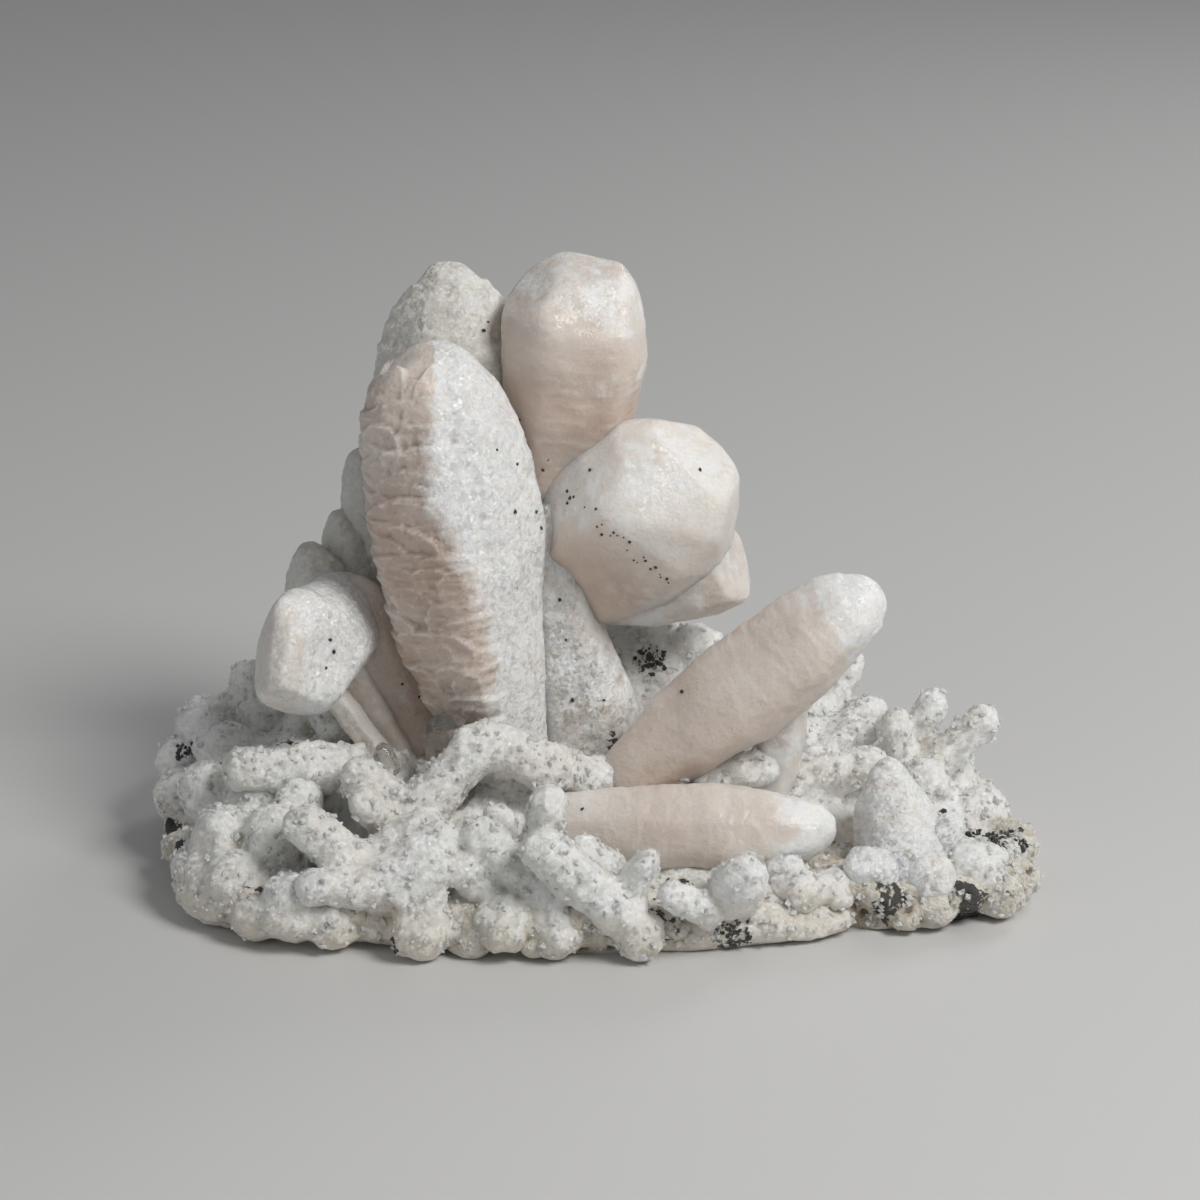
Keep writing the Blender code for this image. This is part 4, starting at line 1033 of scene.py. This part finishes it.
FINGERS = [
    ((-33.5, -27, 10), (-41.5, -27.5, 18), 3.2),
    ((-27.5, -14.5, 13), (-34.5, -15.5, 20), 3.1),
    ((-29, -17, 12), (-33.5, -20.5, 18), 2.4),
    ((-22, -30, 8), (-40, -32.5, 10.5), 2.8),
    ((-33, -26, 11), (-24, -24.5, 17), 2.4),
    ((-32, -30.5, 10.5), (-21.8, -28, 16), 2.4),
    ((-28.5, -33, 8), (-22.5, -30.5, 13), 2.7),
    ((-34, -8.5, 18), (-52, -11.5, 19), 3.4),
    ((4.5, -34, 6), (-8.5, -34, 17), 3.2),
    ((-9, -28, 13), (-6.8, -28.5, 22), 2.6),
    ((-5, -31.5, 7), (-17, -27.5, 16), 3.1),
    ((-14.8, -13, 8), (-14.5, -19, 15), 2.6),
    ((2.5, -27, 8), (-2.5, -29.5, 14), 2.8),
    ((3.5, -32, 8), (6.4, -34.5, 15), 2.2),
    ((-14, -28, 7), (-19.5, -29.5, 12), 3),
    ((48, 2.6, 12), (56.8, 2.3, 21.5), 2.7),
    ((45.5, 6, 13), (49.8, 6.8, 22.5), 2.3),
    ((46, 3, 11), (43.3, 4.5, 20.5), 2.5),
    ((32, 8, 14), (40, 7.8, 17), 2),
    ((33, 8, 14), (28.8, 9.8, 18.5), 1.9),
    ((25, -2, 12.5), (40, -2.2, 16), 3.2),
    ((-6, -9.5, 18), (-17, -13, 24), 3.3),
    ((8, -5, 14), (-6, -9.5, 18), 3),
    ((0, -5.5, 16.5), (12, -9.5, 18.5), 2.3),
    ((-27, -16.5, 13), (-17, -13, 24), 3.3),
    ((18, -28, 6), (20, -35, 13), 3.6),
    ((16, -32, 6), (10, -36, 10.5), 2.4),
    ((13.5, -6, 15), (24.5, -6, 17.5), 2.6),
]
LUMPS = [
    ((-59, 11, 17), 4.6), ((-62.5, 9, 12), 4.2), ((-56, 4, 16), 4.4), ((-62.5, 3, 9), 4.2),
    ((-57, -5, 13), 4.4), ((-50, -9.5, 14), 4.4), ((-54, -17, 11), 4.8), ((-46.5, -19.5, 12), 4.6),
    ((-57.5, -17, 6), 4.4), ((-51.5, -24, 7), 4.6), ((-43.5, -29.5, 6), 4.8), ((-48, -28, 4), 3.8),
    ((-37.5, -31, 4), 3.8), ((-43, -14, 15), 3.4), ((-25, -33, 4), 4.4), ((-13.5, -33, 5), 4.2),
    ((-6, -33.5, 4), 3.8), ((5.5, -34, 4), 3.8), ((47.5, -2, 12.5), 4), ((56.5, -1.5, 8), 4.2),
    ((58, -13, 5), 4.4), ((53.5, -17.5, 6), 5), ((6, 22, 25), 5.5), ((15, 18, 26), 4.5),
    ((28.5, -27, 7), 3.2), ((26, -24, 8), 3.4), ((33, -24, 6), 3.2), ((-60, 18, 12), 4.6),
    ((-52, 14, 19), 4.6), ((-39, -20, 11), 3.4), ((-10, -22, 9), 3.6), ((57, -20, 3.5), 3.6),
    ((52.5, 8, 10), 4), ((24, 12, 15), 4), ((38, 12, 13), 4), ((-30, -4, 15), 3.6),
]
RIM_KNOBS = 74
RIM_KNOB_RADIUS = (1.8, 3.4)
BACK_LUMPS = 46
BACK_LUMP_RADIUS = (2.6, 4.6)
BACK_FINGERS = 16
BACK_FINGER_RADIUS = (1.9, 2.8)
BACK_REACH = (58, 33)
BACK_MIDDLE = 3
KNOB_FLATNESS = 0.9


# Voxel size and smoothing rounds of the crust and of the slab.
CRUST_VOXEL = 0.55
CRUST_ROUNDS = 3
SLAB_VOXEL = 0.75
SLAB_ROUNDS = 2
SMOOTHING_SHARE = 0.5

# Height and size of the crust's waves, knobs and grains, and how brown its lower rim is.
CRUST_WAVES = (0.45, 4.2)
CRUST_KNOBS = (0.34, 1.9)
CRUST_GRAINS = (0.16, 0.95)
RIM_WARMTH = 0.5

# Height and size of the slab's waves, pits and crumbs, and how few of its cells are pits.
SLAB_WAVES = (0.5, 5.0)
SLAB_PITS = (1.1, 2.1)
SLAB_CRUMBS = (0.3, 1.1)
PIT_RARITY = 0.45

# Seeds of the random draws.
RIM_SEED = 11
BACK_SEED = 23
SLAB_SEED = 140
CRUST_SEED = 150
GRAIN_SEED = 5
SPECK_SEED = 77

# The crust's four bodies, with the swellings that belong to each, and where they part.
REGIONS = {
    "crust_left": [0, 6, 10],
    "crust_middle": [1, 8, 9],
    "crust_right": [2, 3, 4],
    "crust_back": [5, 7],
}
BACK_FROM = 15.0
LEFT_UNTIL = -35.0
MIDDLE_UNTIL = 13.0

# The plate's underside, which is then cut flat at 0, the height where it is widest, and a ball's ripple.
PLATE_UNDERSIDE = -1.5
PLATE_WIDEST = 3.5
BALL_RIPPLE = 0.14

# Finished crust and slab, as points and quads, for the grains that lie on them.
CRUST = []


def outline_point(share):
    """A point of the plate's outline, by share of the way round."""
    points = PLATE_OUTLINE + PLATE_OUTLINE[:1]
    steps = [math.dist(a, b) for a, b in zip(points, points[1:])]
    left = share * sum(steps)
    for (ax, ay), (bx, by), step in zip(points, points[1:], steps):
        if left <= step:
            part = left / step
            return ax + (bx - ax) * part, ay + (by - ay) * part
        left -= step
    return PLATE_OUTLINE[0]


def ground(x, y):
    """Height of the swollen plate at a point, before its crust."""
    top = PLATE_THICKNESS
    for (cx, cy, cz), (rx, ry, rz) in SWELLINGS:
        inside = 1.0 - ((x - cx) / rx) ** 2 - ((y - cy) / ry) ** 2
        if inside > 0.0:
            top = max(top, cz + rz * math.sqrt(inside))
    return top


def rim_knobs():
    rng = random.Random(RIM_SEED)
    knobs = []
    for number in range(RIM_KNOBS):
        x, y = outline_point((number + rng.uniform(-0.3, 0.3)) / RIM_KNOBS % 1.0)
        radius = rng.uniform(*RIM_KNOB_RADIUS)
        height = rng.uniform(2.0, 7.0)
        knobs.append(((x, y, height), (radius, radius, radius * KNOB_FLATNESS), number))
    return knobs


def back_place(angle, reach):
    """A place on the slope that faces away from the front."""
    return BACK_REACH[0] * reach * math.cos(angle), BACK_MIDDLE + BACK_REACH[1] * reach * math.sin(angle)


def back_crust():
    """Lumps and short fingers over that slope."""
    rng = random.Random(BACK_SEED)
    balls, fingers = [], []
    for number in range(BACK_LUMPS):
        angle = math.radians(rng.uniform(10.0, 170.0))
        x, y = back_place(angle, rng.uniform(0.55, 0.98))
        radius = rng.uniform(*BACK_LUMP_RADIUS)
        height = ground(x, y) - rng.uniform(0.0, 0.5) * radius
        balls.append(((x, y, height), (radius, radius, radius * KNOB_FLATNESS), 100 + number))
    for number in range(BACK_FINGERS):
        angle = math.radians(15.0 + 150.0 * (number + rng.uniform(0.0, 0.8)) / BACK_FINGERS)
        x, y = back_place(angle, rng.uniform(0.62, 0.86))
        radius = rng.uniform(*BACK_FINGER_RADIUS)
        length = rng.uniform(6.0, 10.0)
        lean = Vector((math.cos(angle), math.sin(angle), rng.uniform(0.5, 1.4))).normalized()
        root = Vector((x, y, ground(x, y) - 2.0))
        fingers.append((tuple(root), tuple(root + lean * length), radius))
    return balls, fingers


def add_ball(shape, centre, radii, squash_seed):
    made = bmesh.ops.create_icosphere(shape, subdivisions=3, radius=1.0)
    for vert in made["verts"]:
        shifted = vert.co * 1.7 + Vector((squash_seed * 3.1, 0.0, 0.0))
        ripple = 1.0 + BALL_RIPPLE * noise.noise(shifted)
        vert.co = Vector([centre[k] + vert.co[k] * radii[k] * ripple for k in range(3)])


def add_finger(shape, root, tip, radius):
    root, tip = Vector(root), Vector(tip)
    along = (tip - root).normalized()
    turn = Vector((0.0, 0.0, 1.0)).rotation_difference(along).to_matrix().to_4x4()
    bmesh.ops.create_cone(
        shape, cap_ends=True, segments=24, radius1=radius * 1.12, radius2=radius * 0.96,
        depth=(tip - root).length, matrix=Matrix.Translation((root + tip) * 0.5) @ turn,
    )
    bmesh.ops.create_icosphere(
        shape, subdivisions=3, radius=radius * 0.97,
        matrix=Matrix.Translation(tip - along * radius * 0.2) @ turn,
    )


def add_plate(shape):
    rim = [shape.verts.new((x * PLATE_FOOT, y * PLATE_FOOT, PLATE_UNDERSIDE)) for x, y in PLATE_OUTLINE]
    face = shape.faces.new(rim)
    for height, growth in ((PLATE_WIDEST, 1.0 / PLATE_FOOT), (PLATE_THICKNESS, 1.0)):
        raised = bmesh.ops.extrude_face_region(shape, geom=[face])
        rim = [item for item in raised["geom"] if isinstance(item, bmesh.types.BMVert)]
        face = [item for item in raised["geom"] if isinstance(item, bmesh.types.BMFace)][0]
        for vert in rim:
            vert.co = Vector((vert.co.x * growth, vert.co.y * growth, height))
    bmesh.ops.recalc_face_normals(shape, faces=shape.faces)


def fused(shape, voxel):
    """The shapes of a bmesh as one skin of points and quads."""
    bmesh.ops.recalc_face_normals(shape, faces=shape.faces)
    mesh = bpy.data.meshes.new("fusing")
    shape.to_mesh(mesh)
    shape.free()
    item = bpy.data.objects.new("fusing", mesh)
    bpy.context.scene.collection.objects.link(item)
    fuse = item.modifiers.new("fuse", "REMESH")
    fuse.mode = "VOXEL"
    fuse.voxel_size = voxel
    graph = bpy.context.evaluated_depsgraph_get()
    result = item.evaluated_get(graph).to_mesh()
    points = np.empty(len(result.vertices) * 3)
    result.vertices.foreach_get("co", points)
    sizes = np.empty(len(result.polygons), dtype=np.int64)
    result.polygons.foreach_get("loop_total", sizes)
    corners = np.empty(len(result.loops), dtype=np.int64)
    result.loops.foreach_get("vertex_index", corners)
    bpy.data.objects.remove(item, do_unlink=True)
    bpy.data.meshes.remove(mesh)
    starts = np.cumsum(sizes) - sizes
    quads = np.stack([corners[starts + np.minimum(k, sizes - 1)] for k in range(4)], axis=-1)
    return points.reshape(-1, 3), quads


def fused_skin(shape, voxel, rounds):
    points, quads = fused(shape, voxel * DRAFT)
    points = relaxed(points, quads, rounds, SMOOTHING_SHARE)
    return points, quads, vertex_normals(points, quads)


def swollen(points, normals, swell, foot):
    """The points pushed out, less and less down to the flat foot, which stays above the table."""
    inside = smoothstep(0.0, foot, points[:, 2])
    points = points + normals * (swell * inside)[:, None]
    points[:, 2] = np.maximum(points[:, 2], 0.0)
    return points


def crusted(name, shape, seed):
    """A fused body with a knobbly druse skin, as a piece that stands for the matrix."""
    points, quads, normals = fused_skin(shape, CRUST_VOXEL, CRUST_ROUNDS)
    (waves, wave_size), (knobs, knob_size), (grains, grain_size) = CRUST_WAVES, CRUST_KNOBS, CRUST_GRAINS
    knob, _ = cells(points, knob_size, seed + 40)
    grain, mark = cells(points, grain_size, seed + 41, block=True)
    swell = waves * fractal(points, wave_size, seed, 2) + knobs * (0.62 - knob) * 1.6
    swell = swell + grains * (0.55 - grain) * (0.6 + 1.2 * mark)
    points = swollen(points, normals, swell, 1.6)
    low = smoothstep(12.0, 3.0, points[:, 2])
    rim = RIM_WARMTH * low + 0.5 * fractal(points, 11.0, seed + 3, 2) * RIM_WARMTH
    # behind and the grey layer below: painted grey-green shade, in random patches and more toward the back.
    behind = smoothstep(10.0, 40.0, points[:, 1])
    # Painted shade in the crust's hollows and painted highlight on its ridges.
    hollow_shade_ridge_light = 1.1 * hollowness(points, quads, 30, 1.5) + 0.1 * hollowness(points, quads, 3, 0.3)
    layers = {
        "warm": np.clip(rim, 0.0, 1.0),
        "grey": np.clip(0.30 * fractal(points, 17.0, seed + 4, 2) + 0.10 * behind, 0.0, 1.0),
        "hollow_shade_ridge_light": np.clip(hollow_shade_ridge_light, -1.0, 1.0),
        "ore": near_patches(points),
    }
    CRUST.append((points, quads))
    return make_piece(name, points, quads, DRUSE, "matrix", layers)


def build_slab():
    """The plate's own rock with its crumbly, pitted rim."""
    shape = bmesh.new()
    add_plate(shape)
    for centre, radii, number in rim_knobs():
        add_ball(shape, centre, radii, number)
    points, quads, normals = fused_skin(shape, SLAB_VOXEL, SLAB_ROUNDS)
    (waves, wave_size), (pits, pit_size), (crumbs, crumb_size) = SLAB_WAVES, SLAB_PITS, SLAB_CRUMBS
    pit, mark = cells(points, pit_size, SLAB_SEED)
    crumb, _ = cells(points, crumb_size, SLAB_SEED + 1, block=True)
    swell = waves * fractal(points, wave_size, SLAB_SEED + 2)
    swell = swell - pits * (1.0 - smoothstep(0.15, 0.5, pit)) * (mark > PIT_RARITY)
    points = swollen(points, normals, swell + crumbs * (0.55 - crumb), 1.0)
    ore_share = near_patches(points) + smoothstep(0.25, 0.6, fractal(points, 9.0, SLAB_SEED + 4))
    # The hollow layer: painted shade in the slab's pits and hollows and painted highlight on its ridges.
    layers = {"hollow_shade_ridge_light": hollowness(points, quads, 8, 0.55), "ore": np.clip(ore_share, 0.0, 1.0)}
    CRUST.append((points, quads))
    return make_piece("rock_slab", points, quads, ROCK, "matrix", layers)


def region_of(place):
    if place[1] > BACK_FROM:
        return "crust_back"
    if place[0] < LEFT_UNTIL:
        return "crust_left"
    return "crust_middle" if place[0] < MIDDLE_UNTIL else "crust_right"


def build_crust():
    """White crust in four bodies, with the fingers and lumps that grow from each."""
    back_lumps, back_fingers = back_crust()
    balls = [(centre, (radius,) * 3, 300 + index) for index, (centre, radius) in enumerate(LUMPS)]
    for number, (name, swellings) in enumerate(REGIONS.items()):
        shape = bmesh.new()
        for index in swellings:
            add_ball(shape, *SWELLINGS[index], 200 + index)
        for root, tip, radius in FINGERS + back_fingers:
            if region_of(root) == name:
                add_finger(shape, root, tip, radius)
        for centre, radii, index in balls + back_lumps:
            if region_of(centre) == name:
                add_ball(shape, centre, radii, index)
        crusted(name, shape, CRUST_SEED + 7 * number)


# Small sheared crystals that stand on the crust: how many are drawn, and their corners and sides.
GRAINS = 15500
CUBE = np.array([
    (-1, -1, -1), (1, -1, -1), (1, 1, -1), (-1, 1, -1), (-1, -1, 1), (1, -1, 1), (1, 1, 1), (-1, 1, 1),
]) * 0.5
SIDES = np.array([(0, 3, 2, 1), (4, 5, 6, 7), (0, 1, 5, 4), (1, 2, 6, 5), (2, 3, 7, 6), (3, 0, 4, 7)])
LOWEST_GRAIN = 0.05

# Least size of a grain and how much larger it can be, its shear, its stretch and how far it stands out.
GRAIN_SIZE = (0.34, 0.45)
GRAIN_SHEAR = 0.35
GRAIN_STRETCH = (0.75, 1.25)
GRAIN_RISE = 0.12


def scatter_grains():
    """The small crystals of all the crust, in one piece. Those drawn on its underside are left out."""
    rng = np.random.default_rng(GRAIN_SEED)
    every_point, every_quad, every_ore = [], [], []
    areas = []
    for points, quads in CRUST:
        a, b, c, d = (points[quads[:, k]] for k in range(4))
        areas.append(0.5 * np.linalg.norm(np.cross(c - a, d - b), axis=1))
    total = sum(area.sum() for area in areas)
    start = 0
    for (points, quads), area in zip(CRUST, areas):
        number = int(int(GRAINS / DRAFT ** 2) * area.sum() / total)
        picked = rng.choice(len(quads), number, p=area / area.sum())
        centre = points[quads[picked]].mean(axis=1)
        normal = vertex_normals(points, quads)[quads[picked, 0]]
        keep = (centre[:, 2] > 1.2) & (normal[:, 2] > -0.6)
        centre, normal = centre[keep], normal[keep]
        count = len(centre)
        size = GRAIN_SIZE[0] + GRAIN_SIZE[1] * rng.random(count) ** 2.0
        turn, _ = np.linalg.qr(rng.normal(size=(count, 3, 3)))
        shear = np.eye(3) + GRAIN_SHEAR * rng.uniform(-1.0, 1.0, (count, 3, 3)) * (1.0 - np.eye(3))
        stretch = rng.uniform(*GRAIN_STRETCH, (count, 3))
        shaped = np.einsum("nij,kj->nki", turn @ shear, CUBE) * stretch[:, None, :] * size[:, None, None]
        placed = shaped + centre[:, None, :] + normal[:, None, :] * (GRAIN_RISE * size)[:, None, None]
        every_point.append(placed.reshape(-1, 3))
        every_quad.append((SIDES[None] + 8 * np.arange(count)[:, None, None]).reshape(-1, 4) + start)
        every_ore.append(np.repeat(near_patches(centre), 8))
        start += 8 * count
    points = np.concatenate(every_point)
    points[:, 2] = np.maximum(points[:, 2], LOWEST_GRAIN)
    # A little painted grey-green shade; the hollow layer's value gives neither painted shade nor highlight.
    layers = {"warm": np.full(start, 0.05), "grey": np.full(start, 0.05), "hollow_shade_ridge_light": np.full(start, -0.25)}
    layers["ore"] = np.concatenate(every_ore)
    return make_piece(
        "druse_grains", points, np.concatenate(every_quad), DRUSE, "matrix", layers, smooth=False,
    )


# The camera of the photograph.
CAMERA_TARGET = Vector((1.5, -1.5, 41.0)) * MM
CAMERA_DISTANCE = 0.483
CAMERA_ELEVATION = math.radians(20.0)
LENS = 100.0
SENSOR = 36.0

# Ore specks that sit on the crystals, in pixels of the picture, and the size of that picture.
PICTURE = 1200.0
SPECK_LINE = ((561.0, 494.0), (612.0, 532.0), (665.0, 579.0))
SPECK_LINE_COUNT = 26
SPECK_SPOTS = [
    (515, 512), (517, 464), (497, 450), (682, 692), (402, 684), (420, 697), (582, 809), (543, 470),
    (488, 322), (484, 330), (536, 512), (541, 528), (520, 420), (560, 600), (566, 640), (572, 700),
    (330, 640), (334, 652), (326, 668), (655, 412), (690, 408), (700, 470), (590, 470), (604, 700),
]

# Radii of those specks, how far the ones of the line stray in pixels, and the grains of the ore pockets.
SPOT_RADIUS = (0.22, 0.42)
LINE_RADIUS = (0.14, 0.34)
LINE_STRAY = (3.0, 4.0)
POCKET_GRAINS = 420
POCKET_RADIUS = (0.2, 0.55)
POCKET_SHARE = 0.25


def seen_at(px, py, tree):
    """The place on the meshes that a pixel of the picture shows, in the layout, or None."""
    view = Vector((0.0, math.cos(CAMERA_ELEVATION), -math.sin(CAMERA_ELEVATION)))
    up = Vector((0.0, math.sin(CAMERA_ELEVATION), math.cos(CAMERA_ELEVATION)))
    reach = 0.5 * SENSOR / LENS
    across = (px / PICTURE * 2.0 - 1.0) * reach
    rise = (1.0 - py / PICTURE * 2.0) * reach
    eye = CAMERA_TARGET - view * CAMERA_DISTANCE
    hit = tree.ray_cast(eye, (view + Vector((1.0, 0.0, 0.0)) * across + up * rise).normalized())[0]
    return None if hit is None else np.array(hit) / MM - LAYOUT_SHIFT


def scatter_ore(pieces):
    """Dark grains along the tooth's edge, on the crystals and in the ore pockets, in one piece."""
    rng = random.Random(SPECK_SEED)
    corners, faces = [], []
    for piece in pieces:
        start = len(corners)
        corners += [vertex.co.copy() for vertex in piece.data.vertices]
        faces += [[start + index for index in face.vertices] for face in piece.data.polygons]
    tree = BVHTree.FromPolygons(corners, faces)
    spots = [(px, py, rng.uniform(*SPOT_RADIUS)) for px, py in SPECK_SPOTS]
    for _ in range(SPECK_LINE_COUNT):
        leg = rng.randrange(2)
        (ax, ay), (bx, by) = SPECK_LINE[leg], SPECK_LINE[leg + 1]
        share = rng.random()
        px = ax + (bx - ax) * share + rng.gauss(0.0, LINE_STRAY[0])
        py = ay + (by - ay) * share + rng.gauss(0.0, LINE_STRAY[1])
        spots.append((px, py, rng.uniform(*LINE_RADIUS)))
    places = [(seen_at(px, py, tree), size) for px, py, size in spots]
    places = [(place, size) for place, size in places if place is not None]
    points = np.concatenate([group for group, _ in CRUST])
    inside = np.flatnonzero((near_patches(points) > POCKET_SHARE) & (points[:, 2] > 1.0))
    for _ in range(POCKET_GRAINS):
        places.append((points[inside[rng.randrange(len(inside))]], rng.uniform(*POCKET_RADIUS)))
    shape = bmesh.new()
    for place, size in places:
        made = bmesh.ops.create_icosphere(shape, subdivisions=1, radius=size)
        for vert in made["verts"]:
            vert.co = vert.co * rng.uniform(0.6, 1.25) + Vector(place)
    index = {vert: number for number, vert in enumerate(shape.verts)}
    grains = np.array([tuple(vert.co) for vert in shape.verts])
    triangles = np.array([[index[vert] for vert in face.verts] for face in shape.faces])
    shape.free()
    grains[:, 2] = np.maximum(grains[:, 2], LOWEST_GRAIN)
    quads = np.concatenate([triangles, triangles[:, 2:]], axis=1)
    return make_piece("ore_grains", grains, quads, ORE, "matrix", smooth=False)


# Quartz prisms and the small clear crystal beside them: root, tip, radius, and how thin the end is.
PRISMS = [
    ((-20.5, -8.0, 11.0), (-23.2, -9.0, 26.0), 3.0, 0.62),
    ((-21.5, -9.5, 11.0), (-18.2, -8.6, 25.5), 2.6, 0.45),
]
GEM = ((-30.0, -12.0, 19.0), (-31.4, -13.2, 23.5), 1.7, 0.5)
PRISM_SIDES = 6
PRISM_SEED = 60
GEM_SEED = 66
WORN_EDGE = 0.18 * MM


def prism(name, place, node, seed):
    """A six-sided rod with slightly uneven faces and a slanting pointed end."""
    root, tip, radius, blunt = place
    rng = random.Random(seed)
    root, tip = np.array(root), np.array(tip)
    along, right, back = axes_of(root, tip)
    length = float(np.linalg.norm(tip - root))
    turns = [2.0 * math.pi * (side + rng.uniform(-0.12, 0.12)) / PRISM_SIDES for side in range(PRISM_SIDES)]
    widths = [radius * rng.uniform(0.92, 1.08) for _ in range(PRISM_SIDES)]
    rings = []
    for reach, share in ((0.0, 0.9), (0.3, 1.0), (0.78, 0.97), (1.0, blunt)):
        for turn, width in zip(turns, widths):
            slant = 0.10 * radius * math.cos(turn - 0.8) if reach > 0.7 else 0.0
            across = width * share
            rings.append(
                root + along * (reach * length + slant)
                + right * (math.cos(turn) * across) + back * (math.sin(turn) * across)
            )
    points = np.array(rings + [root, tip + along * 0.25 * radius])
    quads = facing_out(points - points.mean(axis=0), closed_quads(4, PRISM_SIDES))
    piece = make_piece(name, points, quads, QUARTZ, node, smooth=False)
    edge = piece.modifiers.new("worn edges", "BEVEL")
    edge.width = WORN_EDGE
    edge.segments = 2
    return piece


crystals = build_crystals()
build_slab()
build_crust()
scatter_grains()
scatter_ore(crystals)
for number, place in enumerate(PRISMS):
    prism(f"quartz_prism_{number + 1}", place, "quartz_prisms", PRISM_SEED + number)
prism("clear_crystal", GEM, "matrix", GEM_SEED)


# Floor, camera and light.

FLOOR_SIZE = 12.0
FLOOR_COLOUR = (0.66, 0.66, 0.655, 1.0)
FLOOR_ROUGHNESS = 0.55
SKY_COLOUR = (0.84, 0.85, 0.86, 1.0)
SKY_STRENGTH = 0.23

# Lights: name, place, size, power and colour. They all look at MIDDLE.
MIDDLE = Vector((0.0, 0.0, 0.04))
LIGHTS = [
    ("key", (0.40, -0.34, 0.58), 0.30, 3.7, (1.0, 0.985, 0.96)),
    ("fill", (-0.60, -0.45, 0.30), 0.6, 0.45, (0.92, 0.96, 1.0)),
    ("rim", (0.45, 0.50, 0.45), 0.3, 0.9, (1.0, 1.0, 1.0)),
]


def floor():
    bpy.ops.mesh.primitive_plane_add(size=FLOOR_SIZE)
    item = bpy.context.object
    item.name = "floor"
    material = bpy.data.materials.new("pale floor")
    material.use_nodes = True
    shader = material.node_tree.nodes["Principled BSDF"]
    shader.inputs["Base Color"].default_value = FLOOR_COLOUR
    shader.inputs["Roughness"].default_value = FLOOR_ROUGHNESS
    item.data.materials.append(material)


def aimed(name, data, place, direction):
    """An object at a place that looks in a direction."""
    item = bpy.data.objects.new(name, data)
    item.location = place
    item.rotation_euler = direction.to_track_quat("-Z", "Y").to_euler()
    bpy.context.scene.collection.objects.link(item)
    return item


def area_light(name, place, size, power, colour):
    data = bpy.data.lights.new(name, "AREA")
    data.shape = "DISK"
    data.size = size
    data.energy = power
    data.color = colour
    aimed(name, data, place, MIDDLE - Vector(place))


def camera():
    data = bpy.data.cameras.new("camera")
    data.lens = LENS
    data.sensor_width = SENSOR
    data.clip_start = 0.01
    offset = Vector((0.0, -math.cos(CAMERA_ELEVATION), math.sin(CAMERA_ELEVATION))) * CAMERA_DISTANCE
    bpy.context.scene.camera = aimed("camera", data, CAMERA_TARGET + offset, -offset)


def world():
    sky = bpy.data.worlds.new("studio")
    bpy.context.scene.world = sky
    sky.use_nodes = True
    back = sky.node_tree.nodes["Background"]
    back.inputs["Color"].default_value = SKY_COLOUR
    back.inputs["Strength"].default_value = SKY_STRENGTH


floor()
camera()
world()
for light in LIGHTS:
    area_light(*light)
bpy.context.scene.view_settings.view_transform = "Standard"

print("triangles", sum(TRIANGLES.values()), TRIANGLES)
